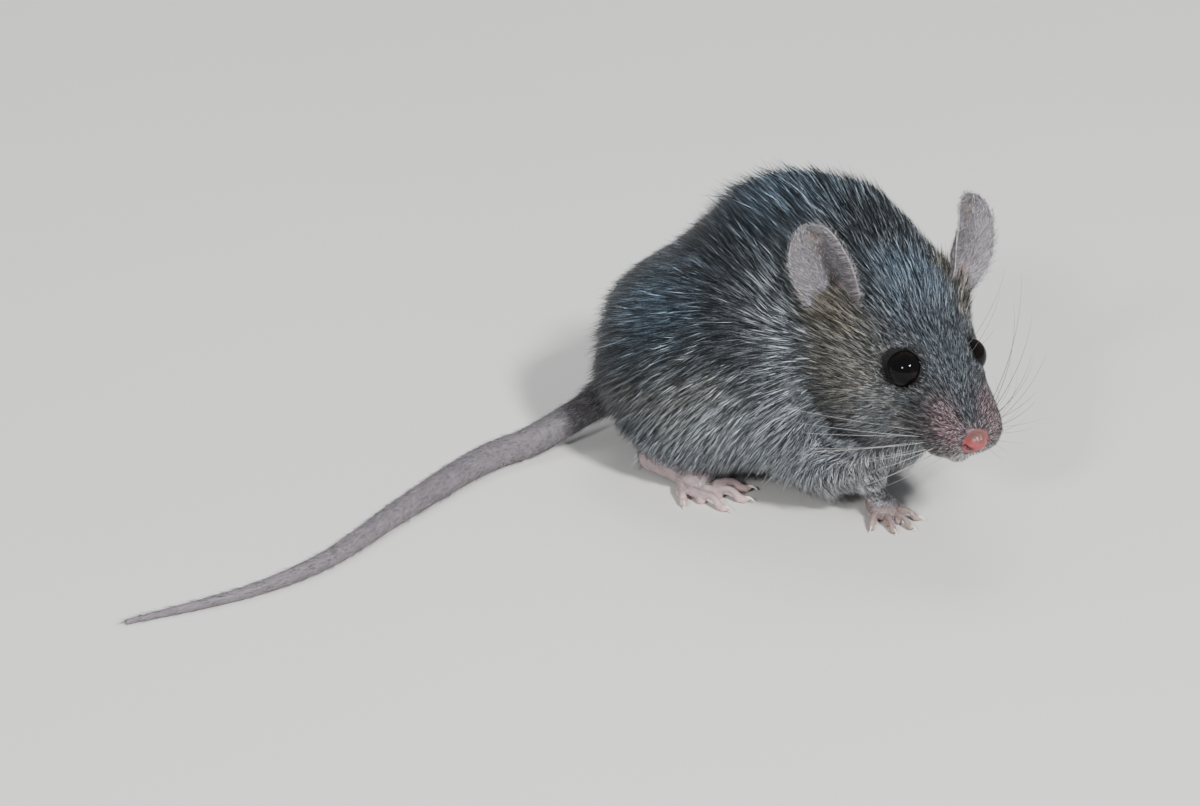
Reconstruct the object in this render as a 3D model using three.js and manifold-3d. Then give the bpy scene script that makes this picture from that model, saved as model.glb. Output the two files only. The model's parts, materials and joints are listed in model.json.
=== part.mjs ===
// A house mouse as a still, life-size model: crouched with an arched back, head low and turned to its
// right, the tail swept round on the floor. Millimetres, +Z up, +X the way the trunk points, +Y its left.
// Anatomical masses are blended into one surface, which is wrapped in rings and then parted into head,
// neck, trunk, limbs, digits and tail with thin cuts. Sizes reach out to the tips of the coat.
import * as THREE from "three";
import { mergeVertices } from "three/addons/utils/BufferGeometryUtils.js";
import Module from "manifold-3d";

const wasm = await Module();
wasm.setup();

// ---- Driving dimensions -------------------------------------------------------------------------
const GAP = 0.3; // between neighbouring pieces
const NOSE = [28.9, -10, 13.6]; // tip of the nose
const HEAD_YAW = -33; // degrees from the trunk's line, to its right
const HEAD_PITCH = 16; // degrees, nose down
const EYE_RADIUS = 1.85;
const EYE_SPOT = [-9.9, 3.85, 3.2]; // left eye, in the head's frame
const EAR_ROOT = [-18.3, 5.9, 3.2]; // left ear
const EAR_LENGTH = 11.8;
const EAR_HALF_WIDTH = 3.4;
const EAR_THICK = 0.62;
const TAIL_RADIUS = 1.72; // at the root
const TAIL_LENGTHS = 5;
const BELLY_HEIGHT = 1.8; // the coat under the belly clears the toes
const BIG = 300; // a cutting block, larger than the animal

const FUR = { color: 0x4b5054, roughness: 0.85 };
const FOOT_SKIN = { color: 0xc9a39c, roughness: 0.6 };
const EAR_SKIN = { color: 0x8f8287, roughness: 0.7 };
const TAIL_SKIN = { color: 0x8c8087, roughness: 0.65 };
const NOSE_SKIN = { color: 0xc96a66, roughness: 0.4 };
const EYE_GLOSS = { color: 0x060607, roughness: 0.05 };

const rad = THREE.MathUtils.degToRad;
const lerp = THREE.MathUtils.lerp;
const vec = (p) => new THREE.Vector3(...p);
const UP = [0, 0, 1];
const AHEAD = [1, 0, 0];

// ---- Frames: x forward, y left, z up, turned by yaw about Z and then by pitch, nose down ---------
class Frame {
  constructor(origin, yaw = 0, pitch = 0) {
    const turn = new THREE.Euler(0, rad(pitch), rad(yaw), "ZYX");
    this.yaw = yaw;
    this.matrix = new THREE.Matrix4().makeRotationFromEuler(turn).setPosition(vec(origin));
    this.inverse = this.matrix.clone().invert();
  }
  at(p) {
    return vec(p).applyMatrix4(this.matrix);
  }
  along(d) {
    return vec(d).transformDirection(this.matrix);
  }
  local(p, out) {
    return out.copy(p).applyMatrix4(this.inverse);
  }
}
const TRUNK = new Frame([0, 0, 0]);
const HEAD = new Frame(NOSE, HEAD_YAW, HEAD_PITCH);

// ---- Masses: distance fields, negative inside ---------------------------------------------------
function ellipsoid(frame, centre, [a, b, c]) {
  const q = new THREE.Vector3();
  const middle = vec(centre);
  return (p) => {
    frame.local(p, q).sub(middle);
    const k0 = Math.hypot(q.x / a, q.y / b, q.z / c);
    const k1 = Math.hypot(q.x / (a * a), q.y / (b * b), q.z / (c * c));
    return k1 < 1e-9 ? -Math.min(a, b, c) : (k0 * (k0 - 1)) / k1;
  };
}

// A straight length that tapers from one radius to another, round at both ends.
function taper(frame, start, end, r0, r1) {
  const a = frame.at(start);
  const axis = frame.at(end).sub(a);
  const long = axis.lengthSq();
  const q = new THREE.Vector3();
  return (p) => {
    q.copy(p).sub(a);
    const t = THREE.MathUtils.clamp(q.dot(axis) / long, 0, 1);
    return q.addScaledVector(axis, -t).length() - lerp(r0, r1, t);
  };
}

// Several masses flow into one another over the width k.
function blend(k, ...fields) {
  return (p) => {
    let d = fields[0](p);
    for (const field of fields.slice(1)) {
      const e = field(p);
      const h = Math.max(k - Math.abs(d - e), 0) / k;
      d = Math.min(d, e) - (h * h * k) / 4;
    }
    return d;
  };
}
const grown = (field, by) => (p) => field(p) - by;

// ---- Wrapping a field in rings ------------------------------------------------------------------
// Distance from a point inside the field to its surface along a direction.
function reach(field, origin, direction) {
  const p = new THREE.Vector3();
  const value = (t) => field(p.copy(origin).addScaledVector(direction, t));
  let near = 0;
  let far = 0;
  for (let d = value(0); d < 0 && far < BIG; d = value(far)) {
    near = far;
    far += Math.max(-d * 0.7, 0.04);
  }
  for (let i = 0; i < 18; i++) {
    const middle = (near + far) / 2;
    if (value(middle) < 0) near = middle;
    else far = middle;
  }
  return Math.max(far, 0.02);
}

// A closed skin round a path: rings across it, and rings that close over each end to a pole.
function wrap(field, path, { sides = 12, rings = 6, caps = 3, up = UP } = {}) {
  const points = path.map((p) => (p.isVector3 ? p : vec(p)));
  const curve = new THREE.CatmullRomCurve3(points, false, "centripetal");
  const stations = [];
  for (let i = 0; i <= caps; i++) stations.push([0, (i / caps - 1) * 90]);
  for (let i = 1; i < rings; i++) stations.push([i / rings, 0]);
  for (let i = 0; i <= caps; i++) stations.push([1, (i / caps) * 90]);
  const position = [];
  const index = [];
  stations.forEach(([u, lean], row) => {
    const origin = curve.getPoint(u);
    const forward = curve.getTangent(u);
    const side = forward.clone().cross(vec(up)).normalize();
    const top = side.clone().cross(forward);
    const pole = Math.abs(lean) === 90;
    for (let k = 0; k < (pole ? 1 : sides); k++) {
      const turn = ((k + 0.5) / sides) * Math.PI * 2;
      const out = side.clone().multiplyScalar(Math.cos(turn)).addScaledVector(top, Math.sin(turn));
      out.multiplyScalar(Math.cos(rad(lean))).addScaledVector(forward, Math.sin(rad(lean)));
      position.push(...origin.clone().addScaledVector(out, reach(field, origin, out)).toArray());
    }
    if (row === 0) return;
    const here = 1 + (row - 1) * sides;
    const before = here - sides;
    for (let k = 0; k < sides; k++) {
      const next = (k + 1) % sides;
      if (row === 1) index.push(0, here + k, here + next);
      else if (pole) index.push(before + k, here, before + next);
      else {
        index.push(before + k, here + k, here + next);
        index.push(before + k, here + next, before + next);
      }
    }
  });
  return solid(position, index);
}

// ---- Solids -------------------------------------------------------------------------------------
function solid(position, index) {
  const make = (triangles) =>
    new wasm.Manifold(
      new wasm.Mesh({
        numProp: 3,
        vertProperties: new Float32Array(position),
        triVerts: new Uint32Array(triangles),
      }),
    );
  const made = make(index);
  return made.volume() < 0 ? make(index.slice().reverse()) : made;
}

function fromGeometry(geometry, matrix) {
  const bare = geometry.clone().applyMatrix4(matrix);
  bare.deleteAttribute("normal");
  bare.deleteAttribute("uv");
  const merged = mergeVertices(bare, 1e-4);
  return solid(Array.from(merged.attributes.position.array), Array.from(merged.index.array));
}

function ball(centre, radius, segments) {
  const shape = new THREE.SphereGeometry(radius, segments, Math.round(segments * 0.7));
  return fromGeometry(shape, new THREE.Matrix4().setPosition(centre));
}

// Everything ahead of a plane, moved along its normal by a shift, as a large block.
function ahead({ point, normal }, shift = 0) {
  const out = normal.clone().normalize();
  const turn = new THREE.Quaternion().setFromUnitVectors(vec(UP), out);
  const centre = point.clone().addScaledVector(out, BIG / 2 + shift);
  const matrix = new THREE.Matrix4().compose(centre, turn, vec([1, 1, 1]));
  return fromGeometry(new THREE.BoxGeometry(BIG, BIG, BIG), matrix);
}
const before = (body, plane) => body.intersect(ahead(plane, GAP / 2));
const behind = (body, plane) => body.subtract(ahead(plane, -GAP / 2));
const FLOOR = ahead({ point: vec([0, 0, 0]), normal: vec([0, 0, -1]) });

// ---- The model's pieces -------------------------------------------------------------------------
const mouse = new THREE.Group();
function place(name, body, look) {
  const [piece] = body.subtract(FLOOR).decompose().sort((a, b) => b.volume() - a.volume());
  const { vertProperties, triVerts } = piece.getMesh();
  const geometry = new THREE.BufferGeometry();
  geometry.setAttribute("position", new THREE.BufferAttribute(vertProperties, 3));
  geometry.setIndex(new THREE.BufferAttribute(triVerts, 1));
  geometry.computeVertexNormals();
  const mesh = new THREE.Mesh(geometry, new THREE.MeshStandardMaterial({ metalness: 0, ...look }));
  mesh.name = name;
  mouse.add(mesh);
}

// ---- Trunk, neck and head as one surface --------------------------------------------------------
const pair = (make) => [-1, 1].map(make);
const trunkMasses = blend(
  5,
  ellipsoid(TRUNK, [-9, 0, 12.6], [11.6, 12.2, 11.6]), // rump
  ellipsoid(TRUNK, [0.6, 0.4, 17.2], [12.8, 13, 15.4]), // arched loin
  ellipsoid(TRUNK, [8.2, 2.4, 18.2], [10, 10.4, 14.2]), // chest and withers
  ellipsoid(TRUNK, [1, 0, 9.8], [14.5, 11.6, 7.8]), // belly
  ellipsoid(TRUNK, [12.4, 1.5, 9.6], [6.2, 7, 5.8]), // breast
  ...pair((s) => ellipsoid(TRUNK, [-6.5, 8.6 * s, 9.4], [8.4, 5.2, 7.6])), // haunches
  ...pair((s) => ellipsoid(TRUNK, [10, 7.4 * s, 11.4], [5.6, 4.6, 9])), // shoulders
);
const headMasses = blend(
  2.2,
  ellipsoid(HEAD, [-16.6, 0, 1.6], [7.6, 7.2, 6.8]), // braincase
  ellipsoid(HEAD, [-10.6, 0, 1.6], [6, 4.6, 4.8]), // brow
  ...pair((s) => ellipsoid(HEAD, [-13.4, 3.4 * s, -2.2], [5.6, 3.9, 4.4])), // cheeks
  taper(HEAD, [-9, 0, 0.2], [-2.6, 0, -0.1], 4.2, 2.3), // bridge of the muzzle
  ...pair((s) => ellipsoid(HEAD, [-7.8, 2.4 * s, -0.4], [3.4, 2.3, 2.9])), // before the eyes
  ...pair((s) => ellipsoid(HEAD, [-4.4, 2.35 * s, -0.9], [3.4, 2.35, 2.45])), // whisker pads
  taper(HEAD, [-12, 0, -3.6], [-4.2, 0, -3], 3, 1.25), // lower jaw
);
const neckMass = taper(TRUNK, [6, 0.8, 18.5], [13, 0.2, 19.5], 9.6, 8);
const NECK_BLEND = 3.5;
const trunkField = blend(NECK_BLEND, trunkMasses, neckMass);
const headField = blend(NECK_BLEND, neckMass, headMasses);
const bodyField = blend(NECK_BLEND, trunkField, headMasses);
const SPINE = [[-9, 0, 12.5], [0, 0, 16], [8, 0.5, 17]];
const SKULL_AXIS = [[-20, 0, 0.6], [-12, 0, 0.2], [-3, 0, -1]].map((p) => HEAD.at(p));

// The neck lies between a cut behind the ears and one over the withers; the throat stays with the head.
const OCCIPUT = { point: HEAD.at([-21, 0, 0]), normal: HEAD.along([1, 0, 0.18]) };
const WITHERS = { point: vec([8.6, 1, 22.5]), normal: vec([0.86, -0.24, 0.45]) };
const THROAT = { point: vec([16, -2, 9.4]), normal: vec([0.35, -0.1, 0.93]) };
const foreHalf = ahead(WITHERS, GAP / 2).intersect(ahead(THROAT, GAP / 2));
const foreHalfClear = ahead(WITHERS, -GAP / 2).intersect(ahead(THROAT, -GAP / 2));

const trunkShape = { sides: 22, rings: 6, caps: 6 };
const UNDERSIDE = { point: vec([0, 0, BELLY_HEIGHT]), normal: vec([0, 0, -1]) };
const wholeTrunk = wrap(trunkField, SPINE, trunkShape).subtract(ahead(UNDERSIDE));
const bodyClear = wrap(grown(bodyField, GAP), SPINE, trunkShape);
const neckPath = [[4, 0.5, 18], [9, 1.5, 18.5], HEAD.at([-15, 0, 0])];
const neckSkin = wrap(bodyField, neckPath, { sides: 18, rings: 6, caps: 4 });
const headShape = { sides: 18, rings: 9, caps: 5 };
const nearHead = (p) => Math.max(bodyField(p), headField(p) - 2.5);
const headSkin = wrap(nearHead, SKULL_AXIS, headShape);
const headClear = wrap(grown(nearHead, GAP), SKULL_AXIS, headShape);

const barrel = wholeTrunk.subtract(foreHalfClear);
let trunk = barrel;
let neck = behind(neckSkin.intersect(foreHalf), OCCIPUT);
const skull = before(headSkin.intersect(foreHalf), OCCIPUT);
let head = skull;

// ---- Nose and lower jaw -------------------------------------------------------------------------
const nosePad = blend(
  0.5,
  ...pair((s) => ellipsoid(HEAD, [-0.95, 0.45 * s, -0.15], [0.95, 0.85, 0.95])),
  ellipsoid(HEAD, [-1.3, 0, -0.75], [0.8, 0.6, 0.8]),
);
const nosePath = [HEAD.at([-1.4, 0, -0.2]), HEAD.at([-0.9, 0, -0.25])];
place("nose", wrap(nosePad, nosePath, { sides: 10, rings: 2, caps: 3 }), NOSE_SKIN);
head = head.subtract(ball(HEAD.at([-1.2, 0, -0.35]), 1.6, 10));

const jaw = taper(HEAD, [-11.5, 0, -6.2], [-3.6, 0, -3.9], 2.4, 1.15);
const jawPath = [HEAD.at([-11.4, 0, -6.1]), HEAD.at([-3.7, 0, -3.95])];
const jawShape = { sides: 10, rings: 3, caps: 2 };
place("lower_jaw", skull.intersect(wrap(jaw, jawPath, jawShape)), FUR);
head = head.subtract(wrap(grown(jaw, GAP), jawPath, jawShape));

// ---- Ears ---------------------------------------------------------------------------------------
// The pinna is a thin sheet: an egg-shaped outline, rolled inwards towards its narrow root, and its tip
// bent a little backwards. It is built from rings round its middle, one layer before and one behind.
function pinna(root, rise, facing) {
  const up = HEAD.along(rise).normalize();
  const front = HEAD.along(facing);
  front.addScaledVector(up, -front.dot(up)).normalize();
  const across = up.clone().cross(front);
  const spokes = 14;
  const rings = 3;
  const position = [];
  const index = [];
  for (const lift of [EAR_THICK / 2, -EAR_THICK / 2])
    for (let i = 0; i <= rings; i++)
      for (let k = 0; k < (i ? spokes : 1); k++) {
        const a = (k / spokes) * Math.PI * 2;
        const high = EAR_LENGTH * (0.5 - (0.5 * Math.cos(a) * i) / rings);
        const wide = EAR_HALF_WIDTH * (i / rings) * Math.sin(a) * (1 - 0.2 * Math.cos(a));
        const roll = lerp(0.2, 0.05, Math.min(1, (high / EAR_LENGTH) * 1.5));
        const depth = roll * wide * wide - 0.014 * Math.max(high - 4, 0) ** 2 + lift;
        const p = root.clone().addScaledVector(up, high).addScaledVector(across, wide);
        position.push(...p.addScaledVector(front, depth).toArray());
      }
  const layerSize = 1 + rings * spokes;
  const at = (layer, i, k) => layer * layerSize + (i ? 1 + (i - 1) * spokes + (k % spokes) : 0);
  for (let k = 0; k < spokes; k++) {
    for (const layer of [0, 1]) {
      const face = (a, b, c) => index.push(...(layer ? [a, c, b] : [a, b, c]));
      face(at(layer, 0, 0), at(layer, 1, k), at(layer, 1, k + 1));
      for (let i = 1; i < rings; i++) {
        face(at(layer, i, k), at(layer, i + 1, k), at(layer, i + 1, k + 1));
        face(at(layer, i, k), at(layer, i + 1, k + 1), at(layer, i, k + 1));
      }
    }
    index.push(at(0, rings, k), at(1, rings, k), at(1, rings, k + 1));
    index.push(at(0, rings, k), at(1, rings, k + 1), at(0, rings, k + 1));
  }
  return solid(position, index);
}

// The left ear is pricked up more than the right one.
const EARS = {
  right: { side: -1, rise: [-0.4, -0.38, 0.83], facing: [0.75, -0.62, 0.2] },
  left: { side: 1, rise: [-0.36, 0.3, 0.88], facing: [0.9, 0.25, 0.35] },
};
for (const [name, { side, rise, facing }] of Object.entries(EARS)) {
  const eye = HEAD.at([EYE_SPOT[0], side * EYE_SPOT[1], EYE_SPOT[2]]);
  place(`eye_${name}`, ball(eye, EYE_RADIUS, 12), EYE_GLOSS);
  head = head.subtract(ball(eye, EYE_RADIUS + GAP, 10));
  const ear = pinna(HEAD.at([EAR_ROOT[0], side * EAR_ROOT[1], EAR_ROOT[2]]), rise, facing);
  place(`ear_${name}`, ear.subtract(headClear).subtract(bodyClear), EAR_SKIN);
}
place("head", head, FUR);

// ---- Feet ---------------------------------------------------------------------------------------
// A digit runs from its knuckle, over a raised joint, to a pad and a claw. Its length leaves the claw out.
function digit(foot, { from, turn, length, thick, arch }) {
  const heading = new Frame(foot.at(from).toArray(), foot.yaw + turn);
  const floor = -foot.at(from).z;
  const knuckle = [0, 0, 0];
  const joint = [length * 0.42, 0, floor + thick + arch];
  const end = [length * 0.86, 0, floor + thick * 0.86];
  const claw = [length + 0.7, 0, floor + 0.26];
  const flesh = blend(
    0.35,
    taper(heading, knuckle, joint, thick * 1.06, thick * 0.95),
    taper(heading, joint, end, thick * 0.92, thick * 0.85),
    ellipsoid(heading, [length * 0.84, 0, floor + thick * 0.72], [thick * 1.2, thick, thick * 0.8]),
  );
  const nail = taper(heading, [length * 0.9, 0, end[2] + 0.2], claw, 0.36, 0.26);
  const path = [knuckle, joint, end, claw].map((p) => heading.at(p));
  return wrap(blend(0.15, flesh, nail), path, { sides: 6, rings: 5, caps: 1 });
}

// The sole is wrapped whole, and each digit starts just clear of it.
function placeFoot(name, foot, sole, solePath, firstDigit, digits) {
  const path = solePath.map((p) => foot.at(p));
  const shape = { sides: 10, rings: 6, caps: 2 };
  const clear = wrap(grown(sole, GAP), path, shape);
  digits.forEach((spec, i) => {
    place(`${name}_digit_${i + firstDigit}`, digit(foot, spec).subtract(clear), FOOT_SKIN);
  });
  place(name, wrap(sole, path, shape), FOOT_SKIN);
  return clear;
}

// ---- Limbs --------------------------------------------------------------------------------------
// Where each foot stands on the floor and the way it points, in degrees from the trunk's line.
const LIMBS = {
  right: {
    side: -1,
    fore: { at: [15.4, -5, 0], yaw: -31, elbow: [13.6, -7, 7.4] },
    hind: { at: [-3.9, -10.2, 0], yaw: -13 },
  },
  left: {
    side: 1,
    fore: { at: [5.4, 10.2, 0], yaw: 10, elbow: [3.8, 9.6, 7] },
    hind: { at: [-6.2, 10.6, 0], yaw: 12 },
  },
};
for (const [name, { side, fore, hind }] of Object.entries(LIMBS)) {
  // Foreleg: the upper arm bulges under the coat of the chest; forearm and wrist stand clear of it.
  const paw = new Frame(fore.at, fore.yaw);
  const palm = blend(
    0.8,
    taper(paw, [-1.9, 0, 2.4], [-0.4, 0, 1.5], 1.3, 1.15),
    ellipsoid(paw, [0.2, 0, 1.1], [1.9, 1.7, 1.1]),
    ...[-1.1, -0.4, 0.4, 1.1].map((y) => ellipsoid(paw, [1.2 - y * y * 0.4, y, 1], [0.9, 0.6, 0.75])),
  );
  const outward = (angle) => side * angle;
  const pawClear = placeFoot(
    `forefoot_${name}`,
    paw,
    palm,
    [[-1.7, 0, 2.1], [0, 0, 1.3], [0.9, 0, 1.1]],
    2,
    [
      { from: [0.7, outward(-1.1), 1], turn: outward(-40), length: 2.7, thick: 0.5, arch: 0.45 },
      { from: [1.1, outward(-0.4), 1.05], turn: outward(-12), length: 3.2, thick: 0.52, arch: 0.55 },
      { from: [1.1, outward(0.4), 1.05], turn: outward(10), length: 3.1, thick: 0.52, arch: 0.55 },
      { from: [0.6, outward(1.1), 1], turn: outward(40), length: 2.4, thick: 0.5, arch: 0.4 },
    ],
  );
  const armPath = [[9.4, 8 * side, 11], [9.4, 8 * side, 14.5]];
  const arm = ellipsoid(TRUNK, [9.8, 8 * side, 12.4], [4.8, 4.8, 6.4]);
  const armShape = { sides: 12, rings: 3, caps: 3, up: AHEAD };
  const armClear = wrap(grown(arm, GAP), armPath, armShape);
  const elbow = vec(fore.elbow);
  const wrist = paw.at([-1.9, 0, 2.6]);
  const sleeve = taper(TRUNK, fore.elbow, wrist.toArray(), 3.4, 1.5);
  const elbowCut = { point: elbow.clone().lerp(wrist, 0.3), normal: wrist.clone().sub(elbow) };
  const sleeveShape = { sides: 10, rings: 2, caps: 3, up: AHEAD };
  const forearm = before(wrap(sleeve, [elbow, wrist], sleeveShape), elbowCut).subtract(pawClear);
  const forearmClear = wrap(grown(sleeve, GAP), [elbow, wrist], sleeveShape).intersect(
    ahead(elbowCut, -GAP / 2),
  );
  const upperArm = barrel.intersect(wrap(arm, armPath, armShape));
  place(`upper_arm_${name}`, upperArm.subtract(forearmClear), FUR);
  place(`forearm_${name}`, forearm.subtract(headClear), FUR);
  trunk = trunk.subtract(armClear).subtract(forearmClear).subtract(pawClear);
  neck = neck.subtract(armClear);

  // Hind leg: thigh and shank are folded under the coat as one haunch, and the long foot lies flat.
  const foot = new Frame(hind.at, hind.yaw);
  const sole = blend(
    0.9,
    taper(foot, [-7.4, 0, 2], [-1.5, 0, 1.55], 1.5, 1.2),
    ellipsoid(foot, [0, 0, 1.15], [2.2, 1.7, 1.15]),
    ellipsoid(foot, [-7.6, 0, 1.9], [1.5, 1.25, 1.8]),
    ...[-1.1, 0, 1.1].map((y) => ellipsoid(foot, [1.3 - y * y * 0.3, y, 1.05], [1, 0.65, 0.85])),
  );
  const footClear = placeFoot(
    `hindfoot_${name}`,
    foot,
    sole,
    [[-7.4, 0, 1.8], [-3.5, 0, 1.6], [1, 0, 1.15]],
    1,
    [
      { from: [-1.4, outward(-1.1), 1.1], turn: outward(-46), length: 2.6, thick: 0.55, arch: 0.4 },
      { from: [0.9, outward(-1.1), 1.15], turn: outward(-46), length: 4.1, thick: 0.58, arch: 0.7 },
      { from: [1.3, outward(0), 1.2], turn: outward(-26), length: 4.5, thick: 0.6, arch: 0.8 },
      { from: [1, outward(1.1), 1.15], turn: outward(0), length: 4.3, thick: 0.58, arch: 0.7 },
      { from: [-0.6, outward(1.2), 1.2], turn: outward(50), length: 2.9, thick: 0.55, arch: 0.4 },
    ],
  );
  const haunch = ellipsoid(TRUNK, [-6.4, 9.2 * side, 9.8], [8.2, 6.2, 7.4]);
  const haunchPath = [[-8.5, 9 * side, 9.8], [-4, 9 * side, 9.8]];
  const haunchShape = { sides: 14, rings: 3, caps: 4 };
  const haunchSkin = barrel.intersect(wrap(haunch, haunchPath, haunchShape));
  place(`haunch_${name}`, haunchSkin.subtract(footClear), FUR);
  trunk = trunk.subtract(wrap(grown(haunch, GAP), haunchPath, haunchShape)).subtract(footClear);
}

// ---- Tail ---------------------------------------------------------------------------------------
// It leaves the rump, drops to the floor and sweeps round to the animal's right, thinning to the tip.
const TAIL_ROUTE = [
  [-14.5, 2, 7],
  [-19, 0.4, 5.2],
  [-21.4, -5, 3.3],
  [-24.2, -11.6, 1.6],
  [-26.4, -18.6, 1.3],
  [-27.4, -32, 1.1],
  [-28, -44.8, 0.8],
  [-31.2, -54.6, 0.6],
  [-38, -65.4, 0.3],
];
const tailLine = new THREE.CatmullRomCurve3(TAIL_ROUTE.map(vec), false, "centripetal");
const tailRadius = (u) => TAIL_RADIUS * (1 - 0.83 * Math.pow(Math.max(u - 0.12, 0) / 0.88, 1.45));
function tailLength(from, to) {
  const sides = 10;
  const rings = 6;
  const position = [];
  const index = [];
  for (let i = 0; i <= rings; i++) {
    const u = lerp(from, to, i / rings);
    const origin = tailLine.getPointAt(u);
    const forward = tailLine.getTangentAt(u);
    const side = forward.clone().cross(vec(UP)).normalize();
    const top = side.clone().cross(forward);
    const radius = tailRadius(u);
    origin.z = Math.max(origin.z, radius * 0.93);
    for (let k = 0; k < sides; k++) {
      const a = ((k + 0.5) / sides) * Math.PI * 2;
      const p = origin.clone().addScaledVector(side, Math.cos(a) * radius);
      position.push(...p.addScaledVector(top, Math.sin(a) * radius).toArray());
      const here = i * sides + k;
      const next = i * sides + ((k + 1) % sides);
      if (i > 0) index.push(here - sides, here, next, here - sides, next, next - sides);
    }
  }
  for (let k = 1; k < sides - 1; k++) {
    const last = rings * sides;
    index.push(0, k, k + 1, last, last + k + 1, last + k);
  }
  return solid(position, index);
}
const halfCut = GAP / 2 / tailLine.getLength();
for (let i = 0; i < TAIL_LENGTHS; i++) {
  const from = i / TAIL_LENGTHS + (i ? halfCut : 0);
  const to = (i + 1) / TAIL_LENGTHS - (i < TAIL_LENGTHS - 1 ? halfCut : 0);
  const length = tailLength(from, to);
  place(`tail_${i + 1}`, i ? length : length.subtract(bodyClear), TAIL_SKIN);
}
place("neck", neck, FUR);
place("trunk", trunk, FUR);

// ---- The origin: the middle of the model's footprint, on the floor -------------------------------
const box = new THREE.Box3().setFromObject(mouse);
const centre = box.getCenter(new THREE.Vector3());
mouse.position.set(-centre.x, -centre.y, -box.min.z);

export default mouse;
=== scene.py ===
"""A house mouse at life size, crouched on a plain floor.

One skin replaces the flesh of the packed model and lies inside it by the depth of the coat. The coat is
solid mesh: thin tufts rooted all over the skin that follow the lie of the hair. Shapes are worked out in
millimetres and turned into metres when a piece is finished.
"""

import heapq
import json
import logging
import math
from dataclasses import dataclass, field
from enum import Enum
from typing import Callable, ClassVar, Iterable, Sequence

import bmesh
import bpy
import numpy as np
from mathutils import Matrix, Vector

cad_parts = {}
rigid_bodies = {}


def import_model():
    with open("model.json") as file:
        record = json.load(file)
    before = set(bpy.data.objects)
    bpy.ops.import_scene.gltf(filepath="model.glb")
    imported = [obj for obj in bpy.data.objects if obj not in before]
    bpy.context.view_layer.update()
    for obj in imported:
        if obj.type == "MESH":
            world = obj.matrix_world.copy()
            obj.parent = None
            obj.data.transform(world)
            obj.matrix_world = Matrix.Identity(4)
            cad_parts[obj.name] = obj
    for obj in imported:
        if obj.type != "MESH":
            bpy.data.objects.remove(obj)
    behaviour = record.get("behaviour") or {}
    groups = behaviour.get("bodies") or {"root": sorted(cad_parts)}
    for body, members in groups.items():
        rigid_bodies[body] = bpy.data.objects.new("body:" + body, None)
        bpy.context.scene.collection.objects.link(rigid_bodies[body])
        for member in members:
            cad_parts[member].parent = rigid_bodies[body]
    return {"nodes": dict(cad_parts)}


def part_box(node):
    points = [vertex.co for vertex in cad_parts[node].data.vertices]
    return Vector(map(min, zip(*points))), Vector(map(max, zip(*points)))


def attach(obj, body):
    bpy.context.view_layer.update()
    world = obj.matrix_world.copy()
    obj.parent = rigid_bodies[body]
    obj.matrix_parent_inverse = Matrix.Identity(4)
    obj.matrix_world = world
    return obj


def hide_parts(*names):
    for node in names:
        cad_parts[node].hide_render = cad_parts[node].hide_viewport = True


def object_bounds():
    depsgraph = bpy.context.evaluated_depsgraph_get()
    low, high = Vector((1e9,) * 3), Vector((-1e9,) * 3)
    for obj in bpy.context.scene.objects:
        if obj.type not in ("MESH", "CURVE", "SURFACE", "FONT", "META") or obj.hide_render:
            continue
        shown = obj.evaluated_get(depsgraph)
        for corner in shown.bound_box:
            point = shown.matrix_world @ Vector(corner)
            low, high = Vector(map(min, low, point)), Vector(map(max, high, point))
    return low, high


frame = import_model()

log = logging.getLogger("mouse")

MM = 0.001
BODY = "root"
SEED = 11
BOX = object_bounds()
Array = np.ndarray
Triple = tuple[float, float, float]


# ---- Small maths ---------------------------------------------------------------------------------
def span(v: Array) -> Array:
    """Returns the length of each vector."""
    return np.linalg.norm(v, axis=-1)


def unit(v: Array) -> Array:
    """Returns vectors scaled to length one."""
    return v / np.maximum(span(v)[..., None], 1e-12)


def ramp(x: Array, low: float, high: float) -> Array:
    """Returns 0 below low, 1 above high and a smooth rise between; low may be the larger."""
    t = np.clip((x - low) / (high - low), 0.0, 1.0)
    return t * t * (3 - 2 * t)


def bell(x: Array, middle: float, width: float) -> Array:
    """Returns a smooth bump of height one round the middle."""
    return np.exp(-(((x - middle) / width) ** 2))


def blob(p: Array, centre: Triple, radii: Triple) -> Array:
    """Returns a smooth bump of height one round a centre, with its own width along each axis."""
    return np.exp(-(((p - np.array(centre)) / np.array(radii)) ** 2).sum(-1))


def mix(a: Array, b: Array, t: Array) -> Array:
    """Returns a where t is 0 and b where it is 1."""
    return a + (b - a) * t


def one_side(p: Array, middle: float = 0.0) -> Array:
    """Returns points with those of the right side brought over to the left."""
    return np.stack([p[:, 0], np.abs(p[:, 1] - middle), p[:, 2]], 1)


def level(p: Array, place: Array) -> Array:
    """Returns how far points are from a place, seen from above."""
    return span((p - place)[:, :2])


def nearest(p: Array, places: Iterable[Array]) -> Array:
    """Returns how far points are from the nearest of some places."""
    out = np.full(len(p), np.inf)
    for place in places:
        out = np.minimum(out, span(p - place))
    return out


# ---- Meshes as arrays, in millimetres ------------------------------------------------------------
def read(items: bpy.types.bpy_prop_collection, key: str, width: int, kind: type = np.float32) -> Array:
    """Reads a property of all items of a mesh, one row for each."""
    out = np.zeros(len(items) * width, kind)
    items.foreach_get(key, out)
    return out.reshape(-1, width)


def linked(name: str, data: bpy.types.ID) -> bpy.types.Object:
    """Puts a mesh, a light or a camera into the scene."""
    thing = bpy.data.objects.new(name, data)
    bpy.context.scene.collection.objects.link(thing)
    return thing


def discard(thing: bpy.types.Object) -> None:
    """Removes an object together with its mesh."""
    mesh = thing.data
    bpy.data.objects.remove(thing)
    bpy.data.meshes.remove(mesh)


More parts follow.
